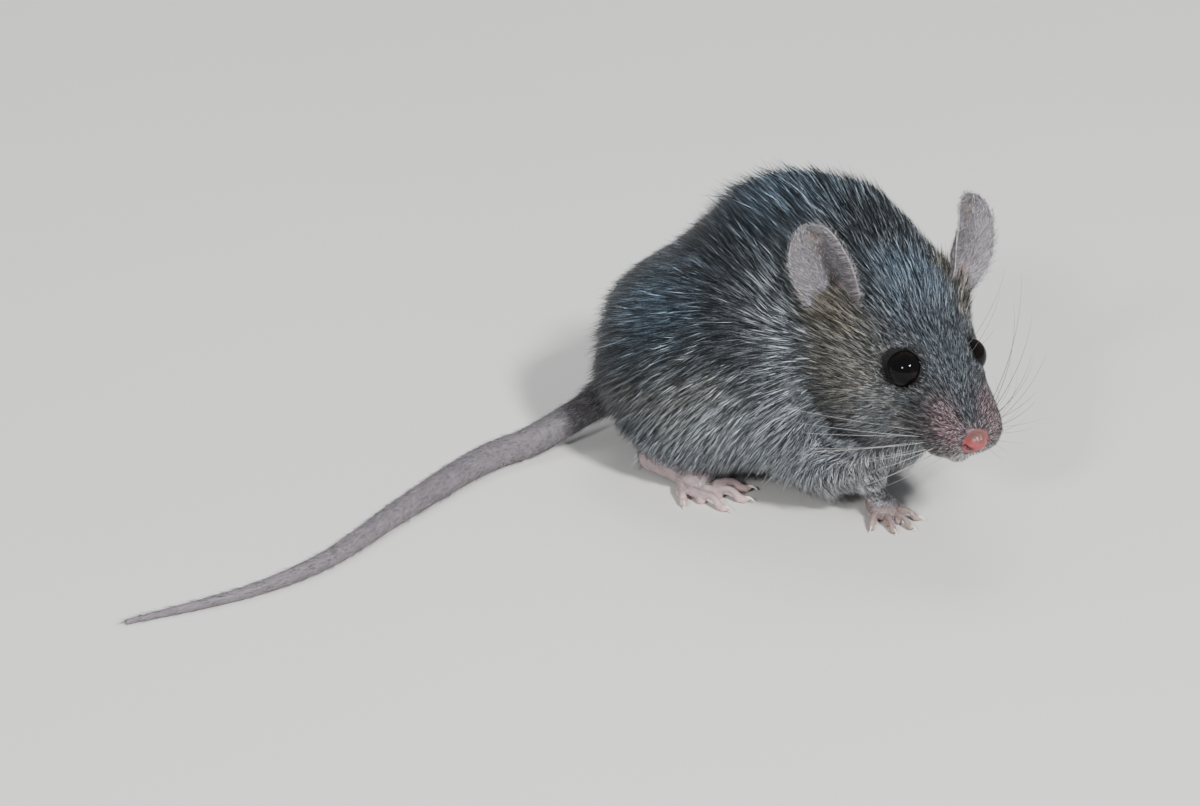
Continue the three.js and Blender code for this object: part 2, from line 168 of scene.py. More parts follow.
@dataclass
class Shell:
    """A surface: its points and its faces."""

    points: Array  # one row per vertex, in millimetres
    faces: list[tuple[int, ...]]  # vertex numbers of each face

    @staticmethod
    def of_mesh(mesh: bpy.types.Mesh) -> "Shell":
        """Reads a Blender mesh, its faces as triangles."""
        mesh.calc_loop_triangles()
        corners = read(mesh.loop_triangles, "vertices", 3, np.int32)
        return Shell(read(mesh.vertices, "co", 3).astype(float), corners.tolist())

    @staticmethod
    def of_bmesh(bm: bmesh.types.BMesh) -> "Shell":
        """Reads a mesh that is being edited, and frees it."""
        mesh = bpy.data.meshes.new("read")
        bm.to_mesh(mesh)
        bm.free()
        shell = Shell.of_mesh(mesh)
        bpy.data.meshes.remove(mesh)
        return shell

    def mesh(self, name: str) -> bpy.types.Mesh:
        """Makes a Blender mesh of it, still in millimetres."""
        made = bpy.data.meshes.new(name)
        made.from_pydata(self.points.tolist(), [], self.faces)
        return made

    @staticmethod
    def together(parts: Sequence["Shell"]) -> "Shell":
        """Returns surfaces as one, not welded."""
        bases = np.cumsum([0, *(len(part.points) for part in parts)]).tolist()
        faces = [tuple(i + base for i in face) for part, base in zip(parts, bases) for face in part.faces]
        return Shell(np.concatenate([part.points for part in parts]), faces)

    def turned(self, over: bool) -> "Shell":
        """Returns it with its faces turned over, if asked."""
        return Shell(self.points, [f[::-1] for f in self.faces]) if over else self


def capped_rings(points: Array, around: int) -> Shell:
    """Joins rings of points into a closed surface.

    Args:
        points: A single point, the rings one after another, and a single point.
        around: How many points each ring has.
    """
    last = len(points) - 1
    faces: list[tuple[int, ...]] = []
    for k in range(around):
        n = (k + 1) % around
        faces += [(0, 1 + k, 1 + n), (last, last - around + n, last - around + k)]
        faces += [(a + k, a + around + k, a + around + n, a + n) for a in range(1, last - around, around)]
    return Shell(points, faces)


ROUND_END = ((0.9, 0.44), (0.55, 0.84))  # how far out and how wide the rings of a tube's end are


def tube(line: Array, radii: Array, sides: int, squash: float = 1.0, up: Triple = (0, 0, 1)) -> Shell:
    """Makes a closed tube with rounded ends.

    Args:
        line: Points along its middle.
        radii: Its radius at each point.
        sides: Corners of its section.
        squash: Height of the section over its width.
        up: A direction that is never along the line.

    Returns:
        The tube, its faces outwards.
    """
    line, radii = np.asarray(line, float), np.asarray(radii, float)
    along = unit(np.gradient(line, axis=0))
    across = unit(np.cross(along, np.array(up, float)))
    above = np.cross(across, along)
    last = len(line) - 1
    stations = [(0, -out, wide) for out, wide in ROUND_END]
    stations += [(i, 0.0, 1.0) for i in range(len(line))]
    stations += [(last, out, wide) for out, wide in reversed(ROUND_END)]
    turn = np.arange(sides) / sides * 2 * np.pi
    points = [line[0] - along[0] * radii[0]]
    for i, shift, share in stations:
        ring = np.outer(np.cos(turn), across[i]) + squash * np.outer(np.sin(turn), above[i])
        points.extend(line[i] + along[i] * radii[i] * shift + ring * radii[i] * share)
    points.append(line[last] + along[last] * radii[last])
    return capped_rings(np.array(points), sides)


def smooth_line(points: Sequence[Sequence[float]], count: int) -> Array:
    """Returns evenly parted points on a smooth curve through the given ones.

    Args:
        points: The points that it passes through.
        count: How many points to return.

    Returns:
        The points, one in each row.
    """
    p = np.array(points, float)
    p = np.vstack([2 * p[0] - p[1], p, 2 * p[-1] - p[-2]])
    out = []
    for i in range(1, len(p) - 2):
        t = np.linspace(0, 1, 24, endpoint=i == len(p) - 3)[:, None]
        a, b, c, d = p[i - 1 : i + 3]
        out.append(
            0.5 * (2 * b + (c - a) * t + (2 * a - 5 * b + 4 * c - d) * t**2 + (3 * b - a - 3 * c + d) * t**3)
        )
    fine = np.vstack(out)
    run = np.r_[0, np.cumsum(span(np.diff(fine, axis=0)))]
    at = np.linspace(0, run[-1], count)
    return np.stack([np.interp(at, run, fine[:, k]) for k in range(3)], 1)


class Net:
    """The neighbours of a mesh's vertices, for smoothing and for measuring along the surface."""

    def __init__(self, points: Array, faces: Iterable[tuple[int, ...]]) -> None:
        """Reads the edges of the faces.

        Args:
            points: Vertices.
            faces: Vertex numbers of each face.
        """
        tri = np.array(faces)
        edges = np.sort(np.vstack([tri[:, [0, 1]], tri[:, [1, 2]], tri[:, [2, 0]]]), axis=1)
        edges = np.unique(edges, axis=0)
        self.a = np.r_[edges[:, 0], edges[:, 1]]
        self.b = np.r_[edges[:, 1], edges[:, 0]]
        self.count = len(points)
        self.degree = np.maximum(np.bincount(self.a, minlength=self.count), 1)

    def mean(self, values: Array) -> Array:
        """Returns for each vertex the mean of its neighbours' values."""
        if values.ndim == 1:
            return np.bincount(self.a, values[self.b], self.count) / self.degree
        return np.stack([self.mean(v) for v in values.T], 1)

    def smooth(self, values: Array, steps: int, share: Array | float = 0.5) -> Array:
        """Returns values moved towards their neighbours' mean, a share of the way at each step."""
        keep = share[:, None] if isinstance(share, np.ndarray) and values.ndim == 2 else share
        for _ in range(steps):
            values = values + (self.mean(values) - values) * keep
        return values

    def walk(self, points: Array, starts: Sequence[int]) -> Array:
        """Returns the distance over the surface from the start vertices.

        Args:
            points: The mesh's vertices.
            starts: Numbers of the vertices to start from.

        Returns:
            The distance of each vertex, infinite where no edge leads.
        """
        order = np.argsort(self.a, kind="stable")
        near = self.b[order].tolist()
        length = span(points[self.a] - points[self.b])[order].tolist()
        first = np.r_[0, np.cumsum(np.bincount(self.a, minlength=self.count))].tolist()
        found = [math.inf] * self.count
        queue = [(0.0, int(s)) for s in starts]
        for _, s in queue:
            found[s] = 0.0
        while queue:
            d, v = heapq.heappop(queue)
            if d > found[v]:
                continue
            for k in range(first[v], first[v + 1]):
                w, e = near[k], d + length[k]
                if e < found[w]:
                    found[w] = e
                    heapq.heappush(queue, (e, w))
        return np.array(found)


def normals(shell: Shell) -> Array:
    """Returns the outward direction at each vertex."""
    mesh = shell.mesh("measured")
    out = read(mesh.vertices, "normal", 3).astype(float)
    bpy.data.meshes.remove(mesh)
    return out


# ---- Where things are ----------------------------------------------------------------------------
def node_points(name: str) -> Array:
    """Returns a packed node's vertices, in millimetres."""
    return Shell.of_mesh(frame["nodes"][name].data).points / MM


def node_middle(name: str) -> Array:
    """Returns the middle of a packed node's box, in millimetres."""
    low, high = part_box(name)
    return np.array((low + high) / 2) / MM


def grown_copy(name: str, by: float) -> Shell:
    """Returns a copy of a packed node, welded and moved outwards."""
    bm = bmesh.new()
    bm.from_mesh(frame["nodes"][name].data)
    bmesh.ops.scale(bm, vec=(1 / MM,) * 3, verts=bm.verts)
    bmesh.ops.remove_doubles(bm, verts=bm.verts, dist=1e-3)
    bm.normal_update()
    shell = Shell.of_bmesh(bm)
    return Shell(shell.points + normals(shell) * by, shell.faces)


@dataclass
class HeadFrame:
    """The head's own axes: x forward from the tip of the nose, y to its left, z up, in millimetres."""

    yaw: float = -33.0  # turn from the trunk's line, in degrees, to the left
    pitch: float = 16.0  # how far the nose points down, in degrees
    eye: Triple = (-9.9, 3.85, 3.2)  # the left eye's place
    turn: Array = field(init=False)
    origin: Array = field(init=False)

    def __post_init__(self) -> None:
        """Finds the frame's place from the packed eyes."""
        y, p = math.radians(self.yaw), math.radians(self.pitch)
        yawed = np.array([[math.cos(y), -math.sin(y), 0], [math.sin(y), math.cos(y), 0], [0, 0, 1]])
        pitched = np.array([[math.cos(p), 0, math.sin(p)], [0, 1, 0], [-math.sin(p), 0, math.cos(p)]])
        self.turn = yawed @ pitched
        between = (node_middle("eye_left") + node_middle("eye_right")) / 2
        self.origin = between - self.turn @ np.array([self.eye[0], 0, self.eye[2]])

    def local(self, p: Array) -> Array:
        """Returns model points in the head's frame."""
        return (p - self.origin) @ self.turn

    def world(self, p: Sequence[float] | Array) -> Array:
        """Returns head points in the model's frame."""
        return self.origin + np.asarray(p, float) @ self.turn.T

    def on_side(self, place: Triple, side: float) -> Array:
        """Returns a place given for the head's left, there with side 1 and on the right with -1."""
        return self.world(np.array([1, side, 1]) * place)

    def along(self, d: Sequence[float] | Array) -> Array:
        """Returns a head direction in the model's frame."""
        return np.asarray(d, float) @ self.turn.T

    def share(self, p: Array) -> Array:
        """Returns 1 on the head, falling to 0 over the nape, the shoulders and the throat."""
        h = self.local(p)
        return ramp(h[:, 0], -25, -20) * ramp(np.abs(h[:, 1]), 11.5, 9.0) * ramp(h[:, 2], -9.5, -6.5)

    def back(self, p: Array) -> Array:
        """Returns how far behind the nose points lie, at least as far as the neck where off the head."""
        behind = -self.local(p)[:, 0]
        return mix(np.maximum(behind, 24.0), behind, self.share(p))


HEAD = HeadFrame()
SIDES = {"right": -1.0, "left": 1.0}


def modified(shell: Shell, name: str, kind: str, weights: Array | None = None, **settings: object) -> Shell:
    """Returns a surface after one of Blender's modifiers.

    Args:
        shell: The surface.
        name: A name for the pass.
        kind: The modifier's type.
        weights: A share for each vertex, by which the modifier works less or more.
        **settings: Its settings.
    """
    thing = linked(name, shell.mesh(name))
    modifier = thing.modifiers.new(name, kind)
    if weights is not None:
        group = thing.vertex_groups.new(name="share")
        modifier.vertex_group = group.name
        for i, w in enumerate(weights):
            group.add([i], float(w), "REPLACE")
    for key, value in settings.items():
        setattr(modifier, key, value)
    evaluated = thing.evaluated_get(bpy.context.evaluated_depsgraph_get())
    out = Shell.of_mesh(evaluated.to_mesh())
    evaluated.to_mesh_clear()
    discard(thing)
    return out


def united(first: Shell, second: Shell, name: str) -> Shell:
    """Returns two closed surfaces joined into one."""
    other = linked(name + "_other", second.mesh(name + "_other"))
    out = modified(first, name, "BOOLEAN", operation="UNION", solver="MANIFOLD", object=other)
    discard(other)
    return out


def fused(parts: Sequence[Shell], name: str, grain: float) -> Shell:
    """Returns closed surfaces melted into one, with faces of the grain's size."""
    whole = Shell.together(parts)
    return modified(whole, name, "REMESH", mode="VOXEL", voxel_size=grain, adaptivity=0.0)


def ball(middle: Array, radius: float, level_of_detail: int = 3) -> Shell:
    """Returns an even ball."""
    bm = bmesh.new()
    bmesh.ops.create_icosphere(bm, subdivisions=level_of_detail, radius=radius)
    shell = Shell.of_bmesh(bm)
    return Shell(shell.points + middle, shell.faces)


def bead(middle: Array, radius: float, sides: int) -> Shell:
    """Returns a bead that is nearly round."""
    half = np.array([0, 0, 0.1])
    return tube(np.array([middle - half, middle, middle + half]), np.full(3, radius), sides, up=(1, 0, 0))


# ---- The skin ------------------------------------------------------------------------------------
@dataclass
class Toe:
    """One toe's line, from inside the foot to the tip of its flesh."""

    line: Array  # points along its middle
    radii: Array  # its radius at each point
    heading: Array  # the way it points, level
    tip: Array  # the end of its flesh
    CLAW: ClassVar[float] = 0.7
    THICK: ClassVar[dict[str, float]] = {"fore": 0.37, "hind": 0.47}

    @staticmethod
    def of_node(foot: str, digit: str) -> "Toe":
        """Reads a toe's place and size from its packed node, which ends in the claw.

        Args:
            foot: The name of the foot's node.
            digit: The name of the toe's node.

        Returns:
            The toe.
        """
        points, middle = node_points(digit), node_points(foot).mean(0)
        away = span((points - middle)[:, :2])
        root = points[away < away.min() + 0.4].mean(0)
        tip = points[away > away.max() - 0.2].mean(0)
        heading = unit(np.array([*(tip - root)[:2], 0.0]))
        length = span((tip - root)[:2]) - Toe.CLAW
        thick = Toe.THICK[foot[:4]]
        top = points[:, 2].max() - 0.1
        ground = np.array([root[0], root[1], 0.0])
        shares = [-0.4, 0.0, 0.32, 0.54, 0.72, 0.86, 0.97]
        heights = [0.95, 1.0, top - thick, top * 0.6, thick * 0.95, thick * 0.86, thick * 0.95]
        sizes = [1.15, 1.0, 1.08, 0.8, 0.84, 1.04, 0.62]
        line = np.array([ground + heading * length * s + [0, 0, z] for s, z in zip(shares, heights)])
        return Toe(line, np.array(sizes) * thick, heading, line[-1])

    def flesh(self) -> Shell:
        """Returns the toe with its knuckles."""
        steps = 18
        radii = np.interp(np.linspace(0, 1, steps), np.linspace(0, 1, len(self.radii)), self.radii)
        return tube(smooth_line(self.line, steps), radii, 12)

    def claw(self) -> Shell:
        """Returns its claw, hooked a little downwards."""
        thick = self.radii.max()
        across = np.cross(self.heading, [0, 0, 1])
        share = np.linspace(0, 1, 9)
        ahead = self.tip + np.outer(share * 2.1 * thick - 0.35 * thick, self.heading)
        rise = thick * (0.3 + 0.28 * np.sin(share * 2.2) - 0.95 * share**2)
        radii = thick * 0.36 * (1 - share**1.7) + 0.012
        return tube(ahead + np.outer(rise, [0, 0, 1]), radii, 8, squash=0.7, up=tuple(across))


@dataclass
class SkinSizes:
    """Sizes of the skin, in millimetres."""

    grain: float = 0.2  # size of the voxels that the flesh is melted together with
    paw_grain: float = 0.11  # the same for the paws
    socket: float = 1.95  # radius of the flesh behind an eye
    overlap: float = 0.2  # how far neighbouring pieces are grown into each other first
    back_depth: float = 1.7  # depth of the coat on the back
    flank_depth: float = 1.35  # depth of the coat on the flanks
    smoothing: int = 60  # steps of smoothing before the coat's depth is taken off
    layers: int = 3  # in how many steps that is taken off
    lids: float = 2.28  # how far from an eye's middle the skin is lid
    triangles: int = 111_000  # how many triangles the body keeps


class Skin:
    """The whole animal's skin, with lids, nose, ears, feet and tail."""

    CORE = ("head", "lower_jaw", "neck", "trunk")
    LIMBS = ("upper_arm", "forearm", "haunch", "forefoot", "hindfoot")
    CHIN = (((-1.4, 0, -0.4), 1.35), ((-3.7, 0, -2.8), 2.0), ((-5.8, 0, -3.2), 2.3))

    def __init__(self, sizes: SkinSizes = SkinSizes()) -> None:
        """Builds every part of the skin.

        Args:
            sizes: Its sizes.
        """
        self.sizes = sizes
        self.toes = {
            (foot, side, n): Toe.of_node(f"{foot}_{side}", f"{foot}_{side}_digit_{n}")
            for side in SIDES
            for foot, numbers in (("forefoot", range(2, 6)), ("hindfoot", range(1, 6)))
            for n in numbers
        }
        self.feet = np.array([node_middle(f"{f}_{s}") for f in ("forefoot", "hindfoot") for s in SIDES])
        self.body = self.melted()
        extras = {"paws": self.paws(), "tail": Tail().shell(), "nose": NOSE.shell()}
        extras |= {f"ear_{side}": ear.shell() for side, ear in EARS.items()}
        extras |= {f"lids_{side}": eye.lids() for side, eye in EYES.items()}
        self.whole = self.body
        for name, part in extras.items():
            self.whole = united(self.whole, part, name)
        log.info("skin: %d triangles", len(self.whole.faces))

    def paws(self) -> Shell:
        """Returns all toes, each with a pad below its tip and one below its root."""
        parts = []
        for toe in self.toes.values():
            thick = toe.radii.max()
            parts.append(toe.flesh())
            for share, size in ((5, 0.9), (1, 1.15)):
                pad = toe.line[share] * [1, 1, 0] + [0, 0, thick * size * 0.8]
                parts.append(ball(pad, thick * size, 2))
        shell = fused(parts, "paws", self.sizes.paw_grain)
        points = Net(shell.points, shell.faces).smooth(shell.points, 5)
        points[:, 2] = np.maximum(points[:, 2], 0.01)
        return Shell(points, shell.faces)

    def toe_distance(self, p: Array) -> Array:
        """Returns how far points of the model are from the nearest toe's middle line."""
        return nearest(p, np.vstack([smooth_line(t.line[1:], 9) for t in self.toes.values()]))

    def depth(self, p: Array) -> Array:
        """Returns the coat's depth at points of the model."""
        s = self.sizes
        trunk = mix(s.flank_depth, s.back_depth, ramp(p[:, 2], 14, 26))
        trunk = mix(1.0, trunk, ramp(p[:, 2], 3, 9))
        out = mix(0.22, trunk, ramp(-HEAD.local(p)[:, 0], 1.5, 24))
        for side in SIDES.values():
            from_eye = span(p - HEAD.on_side(HEAD.eye, side))
            out = np.minimum(out, 0.12 + 0.3 * ramp(from_eye, 2.2, 6.5) * 4)
        for foot in self.feet:
            away = span((p - foot) * [1, 1, 1.3])
            out = np.minimum(out, 0.06 + np.maximum(away - 3.6, 0) * 0.3)
        return out

    def melted(self) -> Shell:
        """Returns trunk, neck, head, limbs and feet as one smooth surface inside the coat."""
        s = self.sizes
        names = [*self.CORE, *(f"{part}_{side}" for part in self.LIMBS for side in SIDES)]
        parts = [grown_copy(name, s.overlap) for name in names]
        for side, sign in SIDES.items():
            parts.append(bead(HEAD.on_side(HEAD.eye, sign), s.socket, 20))
            wrist = np.linspace(node_middle(f"forefoot_{side}"), node_middle(f"forearm_{side}"), 4)
            parts.append(tube(wrist, np.array([1.1, 1.15, 1.3, 1.5]), 12, up=(0, 1, 0)))
        parts += [bead(HEAD.world(place), size, 16) for place, size in self.CHIN]
        shell = fused(parts, "melt", s.grain)
        log.info("melted flesh: %d vertices", len(shell.points))
        net = Net(shell.points, shell.faces)
        points = shell.points
        depth = self.depth(points)
        soft = 0.04 + 0.46 * ramp(depth, 0.2, 0.9)
        points = net.smooth(points, s.smoothing, soft)
        for _ in range(s.layers):
            step = (s.overlap + depth) / s.layers
            points = points - normals(Shell(points, shell.faces)) * step[:, None]
            points = net.smooth(points, 4, soft)
        points[:, 2] = np.maximum(points[:, 2], 0.0)
        share = s.triangles / len(shell.faces)
        plain = ramp(depth, 0.45, 0.9)
        shell = Shell(points, shell.faces)
        return modified(shell, "thinned", "DECIMATE", plain, ratio=share, vertex_group_factor=4.0)

    def by_lids(self, mesh: bpy.types.Mesh) -> Array:
        """Returns, for each face of the finished skin, whether it belongs to the lids."""
        return eye_distance(read(mesh.polygons, "center", 3) / MM) < self.sizes.lids

    def wetness(self) -> Array:
        """Returns how moist the skin is at each vertex: the nose and the lids shine."""
        points = self.whole.points
        pad = ramp(NOSE.distance(HEAD.local(points)), 1.6, 1.2)
        return np.maximum(pad, 0.3 * ramp(eye_distance(points), 2.4, 2.0))


# ---- Tail, ears, lids and nose -------------------------------------------------------------------
@dataclass
class Tail:
    """The tail, from inside the rump to its tip, with its rings of scales. Sizes are in millimetres."""

    # Points along it, in a frame of their own
    route: tuple[Triple, ...] = (
        (-14.5, 2, 7),
        (-19, 0.4, 5.2),
        (-21.4, -5, 3.3),
        (-24.2, -11.6, 1.6),
        (-26.4, -18.6, 1.3),
        (-27.4, -32, 1.1),
        (-28, -44.8, 0.8),
        (-31.2, -54.6, 0.6),
        (-38, -65.4, 0.3),
    )
    nose: Triple = (28.9, -10, 13.6)  # the tip of the nose in that frame
    radius: float = 1.68  # its radius at the root
    thinning: float = 0.83  # the share of the radius that is lost at the tip
    ring: float = 0.46  # distance between scale rings at the root
    step: float = 0.035  # height of a ring's step, over the radius
    sides: int = 18  # corners of its section
    rows: int = 470  # how many sections it has

    def line(self) -> tuple[Array, Array, Array]:
        """Returns its middle line, its radius there and the share of its length, row by row."""
        line = smooth_line(self.route, self.rows) + HEAD.origin - np.array(self.nose)
        share = np.linspace(0, 1, self.rows)
        radius = self.radius * (1 - self.thinning * (np.maximum(share - 0.12, 0) / 0.88) ** 1.45)
        radius = radius * (1 + 0.28 * ramp(share, 0.16, 0.05))
        line[:, 2] = np.maximum(line[:, 2], radius * 0.93)
        return line, radius, share

    def shell(self) -> Shell:
        """Returns its skin, with a low step at each ring of scales."""
        line, radius, share = self.line()
        run = np.r_[0, np.cumsum(span(np.diff(line, axis=0)))]
        ring = (run / (self.ring * (1 - 0.45 * share))) % 1.0
        radius = radius * (1 + self.step * (ring - 0.5) * ramp(share, 0.1, 0.2))
        shell = tube(line, radius, self.sides)
        shell.points[:, 2] = np.maximum(shell.points[:, 2], 0.0)
        return shell


@dataclass
class Ear:
    """An ear: a thin shell, wide in its upper half and rolled together towards the root."""

    side: float  # -1 for the right ear and 1 for the left
    rise: Triple  # the way it stands, in the head's frame
    facing: Triple  # the way its hollow looks, in the head's frame
    root: Triple = (-18.3, 5.9, 3.2)  # its root's place for the left ear
    length: float = 11.7  # root to tip
    half_width: float = 3.35  # half its greatest width
    thick: float = 0.42  # thickness at the middle
    rows: int = 46  # rings of points from root to tip
    columns: int = 34  # points across its front

    def axes(self) -> tuple[Array, Array, Array, Array]:
        """Returns its root and the directions up, to the edge near the crown and to the front."""
        up = unit(HEAD.along(self.rise))
        front = HEAD.along(self.facing)
        front = unit(front - up * (front @ up))
        return HEAD.on_side(self.root, self.side), up, np.cross(up, front) * -self.side, front

    def relief(self, v: Array, s: Array) -> Array:
        """Returns how far the sheet bulges to the front.

        Args:
            v: Share of the height.
            s: Place across, -1 to 1, with 1 at the edge near the crown.
        """
        high = self.length * v
        wide = self.offset(v, s)
        roll = mix(0.16, 0.05, np.minimum(1.0, v * 1.5))
        out = roll * wide**2 - 0.014 * np.maximum(high - 4, 0) ** 2
        out = out + 1.35 * ramp(s, 0.1, 1.0) * ramp(v, 0.08, 0.35) * ramp(v, 1.02, 0.7)
        out = out + 0.3 * ramp(s, -0.7, -1.0) * ramp(v, 0.2, 0.5)
        out = out - 0.8 * bell(v, 0.42, 0.26) * bell(s, 0.2, 0.34)
        out = out + 0.5 * bell(v - 0.06 * s, 0.34, 0.035) * bell(s, 0.12, 0.42)
        out = out - 0.25 * bell(v, 0.9, 0.05) * bell(s, 0.1, 0.4)
        return out + 0.12 * bell(s + 0.5 - 0.3 * v, 0.0, 0.1) * bell(v, 0.5, 0.25)

    def tint(self, v: Array, s: Array) -> Array:
        """Returns the bare ear's colour at a share of the height and a place across, with painted shade in
        the hollow and the left ear brightened as painted light.

        Args:
            v: Shares of the height, from 0 at the root to 1 at the tip.
            s: Places across, from -1 to 1 between the edges.

        Returns:
            A colour for each place.
        """
        layers = (
            # painted shade: the middle of the hollow and the rolled-in part near the crown
            ("ear_hollow_shade", bell(s, 0.18 - 0.1 * v, 0.22) * ramp(v, 0.3, 0.45) * 0.9),
            ("ear_hollow_shade", ramp(s, 0.2, 0.6) * 0.35),
            ("ear_brown", bell(v, 0.88, 0.07) * bell(s, 0.2, 0.35) * 0.8),
            ("ear_deep", ramp(v, 0.36, 0.26) * ramp(s, -0.5, 0.1) * ramp(s, 0.95, 0.7)),
            ("ear_fold", bell(v - 0.06 * s, 0.35, 0.03) * bell(s, 0.12, 0.4)),
            ("ear_rim", ramp(np.abs(s), 0.93, 0.99) * 0.8),
        )
        # the half near the crown a little darker: painted shade
        out = laid(TINTS["ear"] * 0.9, "ear", ramp(s, 0.0, -0.4))
        for colour, share in layers:
            out = laid(out, colour, share)
        # painted light: the left ear made brighter, where it is lit less
        return out * (1.3 if self.side > 0 else 1.0)

    def place(self, p: Array) -> tuple[Array, Array, Array]:
        """Returns, for points, the share of its height, the place across and the depth from its sheet."""
        root, up, across, front = self.axes()
        q = p - root
        v = np.clip(q @ up / self.length, 0.002, 0.998)
        aside = q @ across
        s = aside / np.maximum(np.abs(self.offset(v, np.sign(aside))), 0.05)
        return v, s, q @ front - self.relief(v, np.clip(s, -1, 1))

    def at(self, v: Array, s: Array, lift: Array) -> Array:
        """Returns points on the sheet, lifted to its front or back."""
        root, up, across, front = self.axes()
        p = root + (self.length * v)[..., None] * up + self.offset(v, s)[..., None] * across
        return p + (self.relief(v, s) + lift)[..., None] * front

    def width(self, v: Array) -> Array:
        """Returns half the width at a share of the height."""
        return self.half_width * 2 * np.sqrt(np.maximum(v * (1 - v), 0)) * (0.8 + 0.4 * v)

    def offset(self, v: Array, s: Array) -> Array:
        """Returns how far across a place is; the edge near the crown draws in towards the root."""
        return self.width(v) * s * (1 - 0.45 * ramp(v, 0.34, 0.06) * (s > 0))

    def shell(self) -> Shell:
        """Returns the ear as a closed shell."""
        root, up, _, front = self.axes()
        v = 0.5 - 0.5 * np.cos(np.linspace(0, np.pi, self.rows + 2)[1:-1])
        s = np.sin(np.linspace(-1, 1, self.columns) * np.pi / 2)
        rings = []
        for lift, order in ((0.5, s), (-0.5, s[::-1][1:-1])):
            vv, ss = np.meshgrid(v, order, indexing="ij")
            thick = self.thick * np.sqrt(1 - ss**8) * (0.7 + 0.5 * (1 - vv)) * np.sqrt(1 - vv**14)
            rings.append(self.at(vv, ss, lift * thick))
        grid = np.concatenate(rings, axis=1)
        tip = root + up * self.length + front * self.relief(np.array(1.0), np.array(0.0))
        points = np.vstack([root, grid.reshape(-1, 3), tip])
        return capped_rings(points, grid.shape[1]).turned(self.side < 0)


EARS = {
    "right": Ear(-1.0, (-0.4, -0.38, 0.83), (0.75, -0.62, 0.2)),
    "left": Ear(1.0, (-0.36, 0.3, 0.88), (0.9, 0.25, 0.35)),
}


@dataclass
class Eye:
    """An eye and the rim of its lids."""

    side: float  # -1 for the right eye and 1 for the left
    radius: float = 1.96  # the ball's radius
    look: Triple = (0.4, 0.84, 0.36)  # the way it looks, for the left eye, in the head's frame
    slit: Triple = (1.0, -0.45, 0.1)  # the way from its back corner to its front one, for the left eye
    rim: float = 2.04  # radius of the lids' edge
    lid: float = 0.17  # half the thickness of a lid
    bulge: float = 0.12  # how far the ball stands out of the packed one

    def axes(self) -> tuple[Array, Array, Array, Array]:
        """Returns its middle and the directions outwards, to the front corner and upwards."""
        mirror = np.array([1, self.side, 1])
        out = unit(HEAD.along(mirror * self.look))
        ahead = HEAD.along(mirror * self.slit)
        ahead = unit(ahead - out * (ahead @ out))
        middle = HEAD.on_side(HEAD.eye, self.side) + out * self.bulge
        return middle, out, ahead, np.cross(ahead, out) * -self.side

    def zone(self, p: Array) -> Array:
        """Returns how far points are from the ball's middle, less along the slit between the lids."""
        middle, out, ahead, above = self.axes()
        q = p - middle
        return np.sqrt((q @ ahead / 1.25) ** 2 + (q @ above) ** 2 + (q @ out) ** 2)

    def lids(self) -> Shell:
        """Returns both lids as one almond-shaped ring."""
        middle, out, ahead, above = self.axes()
        a = np.linspace(0, 2 * np.pi, 64, endpoint=False)
        corner = np.abs(np.cos(a)) ** 5
        radius = self.rim + 0.4 * corner - 0.03 * ramp(np.sin(a), 0, 1)
        height = 0.1 - 0.5 * corner + 0.1 * ramp(np.sin(a), 0, 1)
        size = self.lid * (1 + 0.25 * ramp(np.sin(a), 0, 1))
        core = middle + np.outer(height, out)
        core = core + np.outer(radius * np.cos(a), ahead) + np.outer(radius * np.sin(a), above)
        away = unit(np.outer(np.cos(a), ahead) + np.outer(np.sin(a), above))
        sides = 12
        turn = np.arange(sides) / sides * 2 * np.pi
        points = np.concatenate(
            [core + size[:, None] * (away * np.cos(t) + out * np.sin(t)) for t in turn]
        )
        count = len(a)
        faces = [
            (i * count + k, i * count + (k + 1) % count, j * count + (k + 1) % count, j * count + k)
            for i, j in zip(range(sides), [*range(1, sides), 0])
            for k in range(count)
        ]
        return Shell(points, faces).turned(self.side < 0)


EYES = {"right": Eye(-1.0), "left": Eye(1.0, bulge=-0.35)}


def eye_distance(p: Array) -> Array:
    """Returns how far points are from the nearer eye, less along its slit."""
    return np.minimum(EYES["right"].zone(p), EYES["left"].zone(p))


@dataclass
class Nose:
    """The bare pad of the nose, with its nostrils and the groove below them. Sizes are in millimetres."""

    # Place in the head's frame and radius of each ball that it is melted from
    lobes: tuple[tuple[float, float, float, float], ...] = (
        (-0.82, 0.0, 0.0, 1.08),
        (-0.7, 0.44, -0.3, 0.8),
        (-0.7, -0.44, -0.3, 0.8),
        (-0.95, 0.86, -0.34, 0.52),
        (-0.95, -0.86, -0.34, 0.52),
        (-1.0, 0.0, -0.9, 0.55),
        (-1.7, 0.6, -0.1, 0.95),
        (-1.7, -0.6, -0.1, 0.95),
        (-1.7, 0, -0.7, 0.9),
    )
    middle: Triple = (-0.85, 0, -0.2)  # the middle of the pad
    grain: float = 0.07  # size of the voxels that it is melted with

    def distance(self, h: Array) -> Array:
        """Returns how far points of the head's frame are from the middle of the pad."""
        return span((h - np.array(self.middle)) * [0.8, 0.9, 0.9])

    def shell(self) -> Shell:
        """Returns the nose as a closed surface."""
        shell = fused([ball(HEAD.world(lobe[:3]), lobe[3]) for lobe in self.lobes], "nose", self.grain)
        net = Net(shell.points, shell.faces)
        points = net.smooth(shell.points, 9)
        h = HEAD.local(points)
        side = one_side(h)
        push = 0.36 * blob(side, (-0.2, 0.86, -0.45), (0.6, 0.24, 0.2))
        push += 0.26 * blob(side, (-0.75, 1.25, -0.32), (0.6, 0.34, 0.14))
        push += 0.2 * bell(h[:, 1], 0, 0.1) * ramp(h[:, 2], -0.15, -0.55)
        push += 0.06 * bell(h[:, 1], 0, 0.12) * ramp(h[:, 2], -0.3, 0.2)
        points = points - normals(Shell(points, shell.faces)) * push[:, None]
        return Shell(net.smooth(points, 2), shell.faces)


NOSE = Nose()


